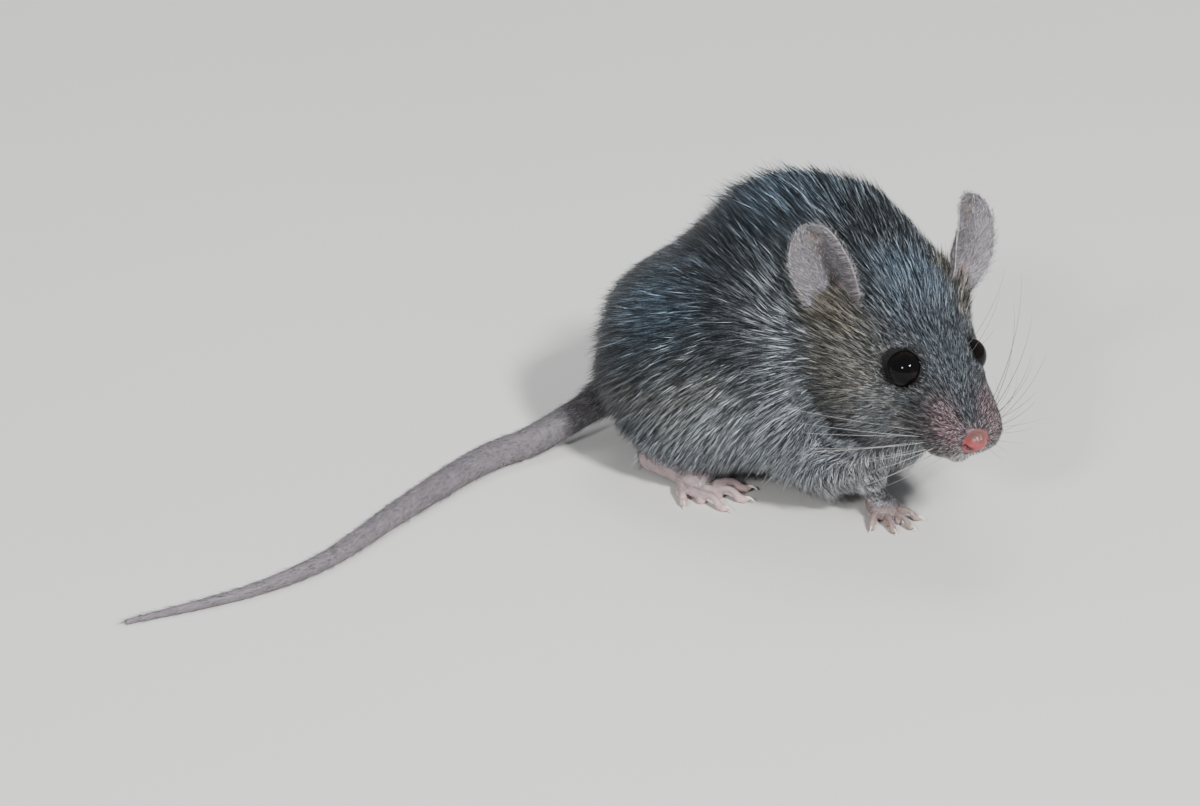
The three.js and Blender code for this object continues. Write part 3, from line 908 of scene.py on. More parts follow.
# ---- Markings ------------------------------------------------------------------------------------
@dataclass(frozen=True)
class Palette:
    """Colours of the coat and of bare skin, as linear red, green and blue; some of them are painted sheen and
    shade.
    """

    slate: Triple = (0.072, 0.082, 0.091)
    # painted sheen: a bluish reflection laid into the coat's colour
    blue_sheen: Triple = (0.19, 0.265, 0.34)
    dark: Triple = (0.022, 0.026, 0.03)
    # paler lower flanks: partly the coat's own, partly painted light
    flank: Triple = (0.24, 0.265, 0.295)
    ochre: Triple = (0.3, 0.26, 0.185)
    cheek: Triple = (0.2, 0.2, 0.19)
    forehead: Triple = (0.1, 0.117, 0.136)
    chest: Triple = (0.74, 0.75, 0.79)
    white: Triple = (0.8, 0.76, 0.74)
    muzzle: Triple = (0.25, 0.17, 0.185)
    muzzle_skin: Triple = (0.105, 0.048, 0.06)
    lip: Triple = (0.5, 0.27, 0.26)
    pad: Triple = (0.26, 0.045, 0.05)
    # painted sheen: bluish on the top of the hump
    hump_sheen: Triple = (0.1, 0.14, 0.18)
    pale: Triple = (0.53, 0.59, 0.64)
    pad_top: Triple = (0.13, 0.07, 0.06)
    # painted shade in the nostrils
    nostril_shade: Triple = (0.03, 0.008, 0.008)
    lid: Triple = (0.004, 0.004, 0.0045)
    ear: Triple = (0.118, 0.107, 0.122)
    # painted shade in the ear's hollow
    ear_hollow_shade: Triple = (0.052, 0.042, 0.046)
    ear_brown: Triple = (0.13, 0.085, 0.065)
    ear_deep: Triple = (0.19, 0.095, 0.085)
    ear_fold: Triple = (0.36, 0.24, 0.235)
    ear_rim: Triple = (0.36, 0.34, 0.35)
    foot: Triple = (0.34, 0.255, 0.262)
    toe: Triple = (0.55, 0.39, 0.365)
    # painted shade on the forefeet
    fore_shade: Triple = (0.58, 0.58, 0.54)
    horn: Triple = (0.72, 0.64, 0.56)
    tail: Triple = (0.165, 0.145, 0.162)
    tail_top: Triple = (0.13, 0.118, 0.13)


PALETTE = Palette()
TINTS = {name: np.array(colour) for name, colour in vars(PALETTE).items()}
BODY_MIDDLE = float((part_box("trunk")[0].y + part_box("trunk")[1].y) / 2 / MM)


def laid(base: Array, colour: str, share: Array, gain: float = 1.0) -> Array:
    """Returns colours with one of the palette's laid over them, by its share at each."""
    return mix(base, TINTS[colour] * gain, share[:, None])


@dataclass(frozen=True)
class Patch:
    """A soft-edged patch of colour on the coat."""

    colour: str  # its colour's name in the palette
    centre: Triple  # its middle, in millimetres
    radii: Triple  # how far it reaches along each axis
    strength: float = 1.0  # how much of it shows at the middle, which is filled where this is more than 1
    gain: float = 1.0  # its brightness, over the palette's
    paired: bool = True  # whether both sides have it
    flecked: bool = False  # whether single hairs show it rather than all

    def over(self, base: Array, whole: Array, side: Array, chance: Array | None) -> Array:
        """Returns colours with the patch painted over them.

        Args:
            base: The colours.
            whole: Their places.
            side: The same places, brought over to the left side.
            chance: A random share for each, which says whether it has a fleck; without it flecks blend.
        """
        share = blob(side if self.paired else whole, self.centre, self.radii) * self.strength
        share = np.minimum(1, share)
        if self.flecked and chance is not None:
            share = np.where(share > chance, 0.3, 0.0) + 0.6 * share
        return laid(base, self.colour, share, self.gain)


class Markings:
    """Says what colour the coat and the bare skin are at a place on the animal, with painted sheen and shade
    in places.
    """

    ON_TRUNK = (
        # painted shadow of the ears on the upper back
        Patch("dark", (-1, 5, 27.5), (7, 6, 4)),
        # painted bluish sheen on the upper flank
        Patch("blue_sheen", (-3.8, 10, 21.4), (5.5, 6, 4.2)),
        # painted bluish sheen on the top of the hump
        Patch("hump_sheen", (6, 24, 32.5), (7, 9, 4.5), paired=False),
        Patch("pale", (4.6, 13.7, 11.0), (5, 5, 4.2), gain=1.15),
        Patch("ochre", (3, 13.5, 13), (6, 6, 3.6), 0.35, flecked=True),
        Patch("pale", (12.6, 10.6, 21.5), (2.8, 4.5, 3.4), 0.9),
        Patch("pale", (10.8, 12, 8.0), (6, 6, 5), 0.8),
        Patch("pale", (15, 10.6, 15.4), (4, 4, 3.4), 0.5),
        Patch("pale", (19, 24, 6), (6, 8, 6), 0.6, paired=False),
        # painted shadow behind and below the cheek: mid-grey in place of the pale patches
        Patch("flank", (16.6, 9.8, 10.4), (3.6, 4, 3.4), gain=0.9),
        Patch("chest", (19.3, 18.5, 4.8), (3.8, 4.6, 3.2), 1.4, paired=False),
    )
    ON_HEAD = (
        # painted bluish sheen on the crown
        Patch("blue_sheen", (-17, 1.5, 9), (3, 3, 3), 0.7),
        Patch("cheek", (-12, 6.5, -1), (7.5, 4, 5)),
        Patch("pale", (-9, 5.9, -1.8), (3.6, 3.2, 3.2), 0.8, 0.75),
        Patch("dark", (-5.2, 3.7, -0.3), (1.7, 1.5, 2.2), 0.6),
        Patch("dark", (-5.0, 2.3, -3.4), (2.0, 1.6, 1.6), 0.6),
        Patch("ochre", (-18.0, 6.8, 5.2), (3.2, 2.8, 3.4), 0.75, flecked=True),
        Patch("ochre", (-12.5, 8, 0.5), (6, 3.5, 4), 0.3, flecked=True),
    )
    ON_MOUTH = (
        Patch("white", (-1.9, 0.2, -3.3), (2.3, 1.9, 2.2), 2.2),
        Patch("lip", (-4.3, 1.4, -4.6), (1.3, 0.8, 0.7), 1.3),
    )
    # painted shade: the crown between the ears darkened
    NAPE_SHADE = Patch("dark", (-23.2, 0, 10.5), (3.2, 6, 3.5), 0.9)

    def muzzle(self, side: Array) -> Array:
        """Returns how thinly the muzzle is haired, at points of the head brought to its left."""
        return np.minimum(1.0, blob(side, (-2.9, 2.4, 0.8), (2.5, 1.25, 2.0)) * 1.7)

    def trunk(self, p: Array, chance: Array | None) -> Array:
        """Returns the coat's colour as it would be without the head.

        Args:
            p: Points of the model.
            chance: A random share for each, or nothing where flecks blend.

        Returns:
            A colour for each point.
        """
        near = one_side(p, BODY_MIDDLE)
        # paler towards the belly: the coat's paler underside, made paler still as painted light on the lower
        # flanks
        out = laid(TINTS["slate"], "flank", ramp(p[:, 2], 16, 5))
        out = laid(out, "dark", ramp(p[:, 0], -2, -10) * 0.95)
        for patch in self.ON_TRUNK:
            out = patch.over(out, p, near, chance)
        out = laid(out, "chest", ramp(p[:, 2], 4.5, 2.5) * 0.5)
        for side in SIDES:
            wrist = span((p - node_middle(f"forefoot_{side}") - [-2, 0, 0]) * [1, 1, 0.8])
            out = laid(out, "chest", ramp(wrist, 8.0, 5.5))
        return out

    def head(self, p: Array, h: Array, side: Array, chance: Array | None) -> Array:
        """Returns the coat's colour as it would be if all were head.

        Args:
            p: Points of the model.
            h: The same in the head's frame.
            side: Those, brought to the head's left.
            chance: A random share for each, or nothing where flecks blend.

        Returns:
            A colour for each point.
        """
        out = laid(TINTS["slate"], "forehead", ramp(h[:, 2], 2, 6) * ramp(h[:, 0], -21, -15))
        for patch in self.ON_HEAD:
            out = patch.over(out, h, side, chance)
        out = laid(out, "flank", ramp(h[:, 2], -4, -8) * 0.6)
        out = laid(out, "muzzle", self.muzzle(side) * 0.75)
        for patch in self.ON_MOUTH:
            out = patch.over(out, h, side, chance)
        return laid(out, "lid", ramp(eye_distance(p), 2.3, 2.1), 2)

    def coat(self, p: Array, chance: Array | None = None) -> Array:
        """Returns the coat's colour at points of the model, in millimetres.

        Args:
            p: The points.
            chance: A random share for each, which says whether it has a fleck; without it flecks blend.
        """
        h = HEAD.local(p)
        side = one_side(h)
        out = mix(self.trunk(p, chance), self.head(p, h, side, chance), HEAD.share(p)[:, None])
        return self.NAPE_SHADE.over(out, h, side, chance)


MARKS = Markings()
# painted shade: the skin under the coat is darkened so that gaps between the hairs read as shade
UNDER_COAT_SHADE = 0.24  # brightness of the skin below the coat, over the coat's


def skin_colours(skin: Skin) -> Array:
    """Returns the skin's colour: the coat's own, darkened as painted shade, where hair hides it, else that of
    bare skin.
    """
    p = skin.whole.points
    h = HEAD.local(p)
    side, low = one_side(h), ramp(p[:, 2], 4.4, 2.8)
    bare = np.maximum(MARKS.muzzle(side), ramp(NOSE.distance(h), 2.4, 1.7))
    out = laid(MARKS.coat(p) * UNDER_COAT_SHADE, "muzzle_skin", bare)
    for foot in skin.feet:
        out = laid(out, "foot", ramp(level(p, foot), 7.6, 6.0) * low)
    toe = laid(TINTS["foot"], "toe", ramp(p[:, 2], 1.4, 0.4))
    out = mix(out, toe, ramp(skin.toe_distance(p), 1.5, 1.0)[:, None])
    # painted shade: the forefeet darkened
    for foot in skin.feet[:2]:
        out = out * laid(np.ones(3), "fore_shade", ramp(level(p, foot), 7, 5) * low)
    for ear in EARS.values():
        v, s, deep = ear.place(p)
        inside = (np.abs(deep) < 0.8) & (np.abs(s) < 1.25) & (v > 0.1)
        out = mix(out, ear.tint(v, s), (inside * ramp(v, 0.12, 0.2))[:, None])
    ringed = laid(TINTS["tail"], "tail_top", ramp(p[:, 2], 1.2, 3.0) * 0.6)
    out = mix(out, ringed, (ramp(p[:, 1], 23.0, 12.0) * ramp(p[:, 0], -13.5, -15.5))[:, None])
    pad = laid(TINTS["pad"], "pad_top", ramp(h[:, 2], 0.1, 0.85) * 0.85)
    out = mix(out, pad, ramp(NOSE.distance(h), 1.6, 1.2)[:, None])
    # painted shade in the nostrils
    nostril = blob(side, (-0.3, 0.88, -0.45), (0.6, 0.25, 0.19))
    nostril = nostril + blob(side, (-0.8, 1.25, -0.32), (0.5, 0.32, 0.13))
    out = laid(out, "nostril_shade", np.minimum(1.3 * nostril, 1))
    return laid(out, "lid", ramp(eye_distance(p), 2.45, 2.2))


# ---- Shaders -------------------------------------------------------------------------------------
def in_use(sockets: Iterable[bpy.types.NodeSocket], key: str | int) -> bpy.types.NodeSocket:
    """Returns a socket by its number, or by its name among those that the node's settings leave in use."""
    return sockets[key] if isinstance(key, int) else next(s for s in sockets if s.name == key and s.enabled)


def add_node(
    tree: bpy.types.NodeTree, kind: str, settings: dict | None = None, inputs: dict | None = None
) -> bpy.types.Node:
    """Adds a node to a tree.

    Args:
        tree: The tree.
        kind: The node's type.
        settings: Its properties, which are set first.
        inputs: Values, or other nodes' sockets to link from, by the name or number of its sockets.
    """
    made = tree.nodes.new(kind)
    for key, value in (settings or {}).items():
        setattr(made, key, value)
    for key, value in (inputs or {}).items():
        if isinstance(value, bpy.types.NodeSocket):
            tree.links.new(value, in_use(made.inputs, key))
        else:
            in_use(made.inputs, key).default_value = value
    return made


def operator(operation: str, swapped: bool = False) -> Callable[["Sock", "Sock | float"], "Sock"]:
    """Returns an operator of sockets that adds a Math node, if asked with its values swapped."""

    def act(first: "Sock", second: "Sock | float") -> "Sock":
        """Adds the node."""
        values = (second, first) if swapped else (first, second)
        return first.tree.node("ShaderNodeMath", {"operation": operation}, dict(enumerate(values)))

    return act


class Sock:
    """A shader socket that takes part in sums: operators add Math nodes."""

    def __init__(self, tree: "Shader", socket: bpy.types.NodeSocket) -> None:
        """Wraps a node's output."""
        self.tree, self.socket = tree, socket

    __add__ = __radd__ = operator("ADD")
    __mul__ = __rmul__ = operator("MULTIPLY")
    __sub__, __rsub__ = operator("SUBTRACT"), operator("SUBTRACT", swapped=True)
    __pow__ = operator("POWER")

    def ramp(self, low: float, high: float) -> "Sock":
        """Returns 0 below low and 1 above high, smooth between."""
        inputs = {"Value": self, "From Min": low, "From Max": high}
        return self.tree.node("ShaderNodeMapRange", {"interpolation_type": "SMOOTHSTEP"}, inputs)


class Shader:
    """One material and its nodes."""

    def __init__(self, name: str) -> None:
        """Makes an empty material with its output."""
        self.material = bpy.data.materials.new(name)
        self.material.use_nodes = True
        self.tree = self.material.node_tree
        self.tree.nodes.clear()
        self.out = self.tree.nodes.new("ShaderNodeOutputMaterial")

    def node(
        self, kind: str, settings: dict | None = None, inputs: dict | None = None, output: str | int = 0
    ) -> Sock:
        """Adds a node and returns one of its outputs.

        Args:
            kind: The node's type.
            settings: Its properties, which are set first.
            inputs: Values or links by socket.
            output: Which output is returned.
        """
        plain = {key: v.socket if isinstance(v, Sock) else v for key, v in (inputs or {}).items()}
        return Sock(self, in_use(add_node(self.tree, kind, settings, plain).outputs, output))

    def attribute(self, name: str, output: str = "Fac") -> Sock:
        """Returns an attribute of the mesh, as a number or a colour."""
        return self.node("ShaderNodeAttribute", {"attribute_name": name}, output=output)

    def place(self) -> Sock:
        """Returns the place on the object, in metres."""
        return self.node("ShaderNodeTexCoord", output="Object")

    def noise(self, scale: float, detail: float = 3.0) -> Sock:
        """Returns noise at so many waves per metre."""
        inputs = {"Vector": self.place(), "Scale": scale, "Detail": detail}
        return self.node("ShaderNodeTexNoise", None, inputs)

    def blend(self, a: "Sock | Triple", b: "Sock | Triple", share: "Sock | float", how: str = "MIX") -> Sock:
        """Returns two colours mixed."""
        colours = {key: v if isinstance(v, Sock) else (*v, 1.0) for key, v in (("A", a), ("B", b))}
        settings = {"data_type": "RGBA", "blend_type": how}
        return self.node("ShaderNodeMix", settings, {"Factor": share, **colours}, "Result")

    def shaded(self, colour: Sock, by: "Sock | Triple") -> Sock:
        """Returns a colour multiplied by another."""
        return self.blend(colour, by, 1.0, "MULTIPLY")

    def bump(self, height: Sock, strength: float, distance: float) -> Sock:
        """Returns a normal bent by a height, whose full step is the distance in metres."""
        inputs = {"Height": height, "Strength": strength, "Distance": distance}
        return self.node("ShaderNodeBump", None, inputs)

    def surface(self, **inputs: object) -> bpy.types.Material:
        """Ends in a Principled surface; underscores stand for spaces in its sockets' names."""
        named = {key.replace("_", " "): value for key, value in inputs.items()}
        made = self.node("ShaderNodeBsdfPrincipled", None, named)
        self.tree.links.new(made.socket, self.out.inputs["Surface"])
        return self.material


@dataclass(frozen=True)
class SkinFinish:
    """A finish of skin: its own colour at each place, pores and fine creases, moist where it is bare."""

    rough: float = 0.62  # its roughness where it is dry
    moist: float = 0.3  # how much less that is where it is wet
    mottle: float = 900.0  # waves of its darker mottling per metre
    pores: float = 6500.0  # pores per metre
    creases: float = 2500.0  # creases per metre
    relief: tuple[float, float] = (0.4, 0.00009)  # strength of pores and creases, and their depth in metres

    def material(self) -> bpy.types.Material:
        """Makes the finish."""
        sh = Shader("skin")
        tint = sh.attribute("tint", "Color")
        mottle = sh.noise(self.mottle, 4.0).ramp(0.35, 0.75) * 0.5
        pores = sh.node("ShaderNodeTexVoronoi", None, {"Vector": sh.place(), "Scale": self.pores}, "Distance")
        height = pores * 0.5 + sh.noise(self.creases, 3.0) * 0.5
        return sh.surface(
            Base_Color=sh.blend(tint, sh.shaded(tint, (0.5, 0.5, 0.5)), mottle),
            Roughness=self.rough - sh.attribute("wet") * self.moist,
            Normal=sh.bump(height, *self.relief),
            Subsurface_Weight=0.06,
            Subsurface_Radius=(0.0012, 0.0004, 0.0003),
            Subsurface_Scale=0.4,
        )


@dataclass(frozen=True)
class TwoToneFinish:
    """A finish of two tones that drift into each other."""

    name: str  # the material's name
    tones: tuple[Triple, Triple]  # its two tones
    waves: tuple[float, float]  # waves of the second tone per metre, and their detail
    edges: tuple[float, float] | None = (0.4, 0.8)  # between which heights of a wave its tone sets in
    # Its roughness on the first tone, and how much more there is on the second
    rough: tuple[float, float] = (0.5, 0.0)
    relief: tuple[float, float] | None = None  # strength of the waves' relief, and its depth in metres
    ior: float = 1.5  # its index of refraction

    def material(self) -> bpy.types.Material:
        """Makes the finish."""
        sh = Shader(self.name)
        wave = sh.noise(*self.waves)
        drift = wave.ramp(*self.edges) if self.edges else wave
        rough, more = self.rough
        inputs = {"Base_Color": sh.blend(*self.tones, drift), "IOR": self.ior}
        inputs["Roughness"] = rough + drift * more if more else rough
        if self.relief:
            inputs["Normal"] = sh.bump(wave, *self.relief)
        return sh.surface(**inputs)


LID = TwoToneFinish(
    "lid_black",
    ((0.003, 0.003, 0.0035), (0.01, 0.009, 0.01)),
    (3000.0, 3.0),
    relief=(0.3, 0.00005),
    ior=1.25,
)
EYE = TwoToneFinish(
    "eye_black", ((0.0025, 0.0022, 0.0025), (0.008, 0.005, 0.004)), (700.0, 2.0), rough=(0.03, 0.02), ior=1.22
)
FLOOR = TwoToneFinish(
    "floor_matt", ((0.62, 0.61, 0.59), (0.66, 0.65, 0.63)), (14.0, 2.0), edges=None, rough=(0.8, 0.0)
)


@dataclass(frozen=True)
class ClawFinish:
    """The finish of the claws: pink at the root, then horn, with darker streaks along it."""

    root: Triple = (0.62, 0.42, 0.37)  # its colour at the root
    streak: Triple = (0.4, 0.33, 0.28)  # its streaks' colour
    waves: float = 2600.0  # streaks per metre

    def material(self) -> bpy.types.Material:
        """Makes the finish."""
        sh = Shader("claw_horn")
        streak = sh.noise(self.waves, 2.0).ramp(0.3, 0.8) * 0.35
        colour = sh.blend(self.root, PALETTE.horn, sh.attribute("along").ramp(0.1, 0.5))
        return sh.surface(Base_Color=sh.blend(colour, self.streak, streak), Roughness=0.28 + streak * 0.3)


@dataclass(frozen=True)
class WhiskerFinish:
    """The finish of the whiskers: each one's own colour, a little paler in places."""

    gain: Triple = (1.3, 1.25, 1.2)  # the paler tone, over the whisker's own
    waves: float = 500.0  # waves of it per metre

    def material(self) -> bpy.types.Material:
        """Makes the finish."""
        sh = Shader("whisker")
        tint = sh.attribute("tint", "Color")
        shine = sh.noise(self.waves, 1.0).ramp(0.3, 0.7)
        return sh.surface(Base_Color=sh.blend(tint, sh.shaded(tint, self.gain), shine), Roughness=0.35)


# ---- Finished pieces -----------------------------------------------------------------------------
def as_piece(name: str, mesh: bpy.types.Mesh) -> bpy.types.Object:
    """Puts a finished mesh into the model, riding on its one body."""
    piece = linked(name, mesh)
    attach(piece, BODY)
    log.info("%s: %d faces", name, len(mesh.polygons))
    return piece


def finish_piece(
    name: str, shell: Shell, material: bpy.types.Material, values: dict[str, Array] | None = None
) -> bpy.types.Object:
    """Makes a surface into a piece of the model, in metres.

    Args:
        name: The piece's name.
        shell: Its surface, in millimetres.
        material: Its finish.
        values: Numbers or colours of each vertex, by attribute name.

    Returns:
        The piece.
    """
    mesh = Shell(shell.points * MM, shell.faces).mesh(name)
    mesh.shade_smooth()
    mesh.materials.append(material)
    for key, value in (values or {}).items():
        add_values(mesh, key, value)
    return as_piece(name, mesh)


def add_values(mesh: bpy.types.Mesh, name: str, value: Array) -> None:
    """Gives each vertex of a mesh a whole number, a number, a vector or, as its tint, a colour."""
    if name == "tint":
        value = np.column_stack([value, np.ones(len(value))])
    number = "INT" if value.dtype.kind == "i" else "FLOAT"
    kind = number if value.ndim == 1 else "FLOAT_COLOR" if name == "tint" else "FLOAT_VECTOR"
    layer = mesh.attributes.new(name, kind, "POINT")
    socket = {"FLOAT_COLOR": "color", "FLOAT_VECTOR": "vector"}.get(kind, "value")
    layer.data.foreach_set(socket, value.astype(np.int32 if number == "INT" else np.float32).ravel())


# ---- The coat ------------------------------------------------------------------------------------
class Bend(Enum):
    """How a tuft's hairs run: share of the length, height and width of each ring below the tip."""

    CURVED = ((0.0, -0.12, 1.0), (0.5, 0.66, 0.8))
    STRAIGHT = ((0.0, -0.15, 1.0),)


@dataclass
class TuftShape:
    """One pattern of tuft: a few tapering hairs from neighbouring roots, along +X and rising to +Z."""

    hairs: int = 6  # how many hairs it has
    # How far apart the roots lie, over the tuft's length and width
    spread: tuple[float, float] = (0.1, 0.42)
    thick: float = 0.1  # a hair's thickness at the root, over the tuft's width
    fan: float = 0.16  # how far the hairs part towards the tip
    bend: Bend = Bend.CURVED  # whether the hairs curve down towards the tip
    guard: float = 1.25  # length of the first hair, over the tuft's

    def mesh(self, name: str, rng: np.random.Generator) -> bpy.types.Mesh:
        """Makes the tuft's mesh, each hair a closed three-sided spike.

        Args:
            name: The mesh's name.
            rng: The source of its random values.
        """
        points, faces, along, strand = [], [], [], []
        turn = np.array([0.5, 7 / 6, 11 / 6]) * np.pi
        rings = self.bend.value
        for k in range(self.hairs):
            root = rng.uniform(-1, 1, 2) * self.spread
            reach = rng.uniform(0.7, 1.05) if k else self.guard
            drift = rng.normal(0, self.fan)
            rise = rng.uniform(0.75, 1.15)
            value = (k + rng.uniform(0, 1)) / self.hairs
            base = len(points)
            for share, height, size in rings:
                middle = np.array([root[0] + share * reach, root[1] + drift * share, height * rise])
                for t in turn:
                    across = np.array([0.0, math.cos(t), math.sin(t) * 0.9])
                    points.append(middle + across * self.thick / 2 * size)
                    along.append(share)
            points.append([root[0] + reach, root[1] + drift, rise])
            along.append(1.0)
            strand += [value] * (len(points) - base)
            last = base + 3 * len(rings)
            faces.append((base, base + 2, base + 1))
            for i in range(3):
                j = (i + 1) % 3
                for low in range(base, last - 3, 3):
                    faces.append((low + i, low + j, low + 3 + j, low + 3 + i))
                faces.append((last - 3 + i, last - 3 + j, last))
        grid = np.array(points)
        width = 2 * (self.spread[1] + self.fan)
        patch = np.stack([np.array(along), grid[:, 1] / width, 0 * grid[:, 0]], 1)
        mesh = bpy.data.meshes.new(name)
        mesh.from_pydata(grid.tolist(), [], faces)
        mesh.shade_smooth()
        add_values(mesh, "along", np.array(along))
        add_values(mesh, "strand", np.array(strand))
        add_values(mesh, "patch", patch)
        return mesh


def planting_tree(name: str) -> bpy.types.NodeTree:
    """Makes the node tree that plants a tuft at each point, made real and given its material and map.

    Args:
        name: The tree's name.

    Returns:
        The tree. Its inputs are Geometry, Tufts, Patch and Material.
    """
    tree = bpy.data.node_groups.new(name, "GeometryNodeTree")
    sockets = {"Geometry": "Geometry", "Tufts": "Collection", "Patch": "Float", "Material": "Material"}
    for label, kind in sockets.items():
        tree.interface.new_socket(label, in_out="INPUT", socket_type="NodeSocket" + kind)
    tree.interface.new_socket("Geometry", in_out="OUTPUT", socket_type="NodeSocketGeometry")

    def add(kind: str, output: str | int, inputs: dict, **settings: object) -> bpy.types.NodeSocket:
        """Adds a node and returns one of its outputs."""
        return in_use(add_node(tree, kind, settings, inputs).outputs, output)

    def named(attribute: str, kind: str = "FLOAT_VECTOR") -> bpy.types.NodeSocket:
        """Returns an attribute of the points or of the planted hairs."""
        return add("GeometryNodeInputNamedAttribute", "Attribute", {"Name": attribute}, data_type=kind)

    given = add_node(tree, "NodeGroupInput").outputs
    points = add("GeometryNodeMeshToPoints", "Points", {"Mesh": given["Geometry"]})
    choice = {"Collection": given["Tufts"], "Separate Children": True, "Reset Children": True}
    kinds = add("GeometryNodeCollectionInfo", "Instances", choice, transform_space="ORIGINAL")
    ways = {"Primary Axis": named("lie"), "Secondary Axis": named("up")}
    turn = add("FunctionNodeAxesToRotation", "Rotation", ways, primary_axis="X", secondary_axis="Z")
    planting = {"Points": points, "Instance": kinds, "Pick Instance": True}
    planting |= {"Instance Index": named("kind", "INT"), "Rotation": turn, "Scale": named("size")}
    plant = add("GeometryNodeInstanceOnPoints", "Instances", planting)
    real = add("GeometryNodeRealizeInstances", "Geometry", {"Geometry": plant})
    scaled = add("ShaderNodeVectorMath", 0, {0: named("patch"), "Scale": given["Patch"]}, operation="SCALE")
    spot = add("ShaderNodeVectorMath", 0, {0: scaled, 1: named("spot")}, operation="ADD")
    mapped = {"Geometry": real, "Name": "OFBake", "Value": spot}
    store = add("GeometryNodeStoreNamedAttribute", "Geometry", mapped, data_type="FLOAT2", domain="CORNER")
    paint = add("GeometryNodeSetMaterial", "Geometry", {"Geometry": store, "Material": given["Material"]})
    add_node(tree, "NodeGroupOutput", None, {"Geometry": paint})
    return tree


def scattered(
    shell: Shell, closeness: Callable[[Array], Array], count: int, rng: np.random.Generator
) -> tuple[Array, Array, Array]:
    """Picks random places on a surface.

    Args:
        shell: The surface.
        closeness: Gives how closely they stand, at points.
        count: How many.
        rng: The source of the random values.

    Returns:
        The face of each place, the shares of its corners in it, and the way out of every face.
    """
    corner = shell.points[np.array(shell.faces)]
    cross = np.cross(corner[:, 1] - corner[:, 0], corner[:, 2] - corner[:, 0])
    weight = span(cross) * closeness(corner.mean(1))
    face = rng.choice(len(weight), count, p=weight / weight.sum())
    return face, rng.dirichlet((1, 1, 1), count), cross


@dataclass(frozen=True)
class HairFinish:
    """A finish of hair, whose hairs differ from one to the next."""

    name: str  # the material's name
    root: float = 0.08  # the root's colour, over the hair's own
    # the pale tips: partly the hairs' own pale band, partly painted highlight
    tip: float = 5.8  # the palest tips' colour, over the hair's own
    # a painted highlight
    painted_glint: float = 0.07  # what is added to the palest tips
    pale: float = 0.72  # share of the hairs that stay dark to the tip
    rough: float = 0.38  # its roughness
    # Where along a hair its pale part begins, and where it is at its palest
    band: tuple[float, float] = (0.2, 0.65)

    def material(self) -> bpy.types.Material:
        """Makes the finish: hairs dark at the root, a few of them pale towards the tip, partly their own pale
        band and partly painted highlight.
        """
        sh = Shader(self.name)
        tint = sh.attribute("tint", "Color")
        along = sh.attribute("along")
        turned = sh.attribute("strand") + sh.attribute("tone") * 7.31
        value = sh.node("ShaderNodeMath", {"operation": "FRACT"}, {0: turned})
        rooted = value.ramp(0.32, 0.75) * along.ramp(-0.1, 0.5)
        body = sh.blend(sh.shaded(tint, (self.root,) * 3), tint, rooted)
        gain = (sh.attribute("tint") * 3.0 + 1.0) ** -1.0 * self.tip + 0.3
        bright = sh.blend(sh.shaded(tint, gain), (self.painted_glint,) * 3, 1.0, "ADD")
        shine = value.ramp(self.pale, 0.92) * along.ramp(*self.band)
        return sh.surface(Base_Color=sh.blend(body, bright, shine), Roughness=self.rough + along * 0.06)


@dataclass
class CoatSizes:
    """Sizes of the coat, in millimetres."""

    tufts: int = 22_500  # how many tufts it has
    # How many patterns of tuft there are, fine straight ones first and then curved ones
    kinds: tuple[int, int] = (8, 4)
    patch: float = 0.003  # size of a tuft on the coat's map


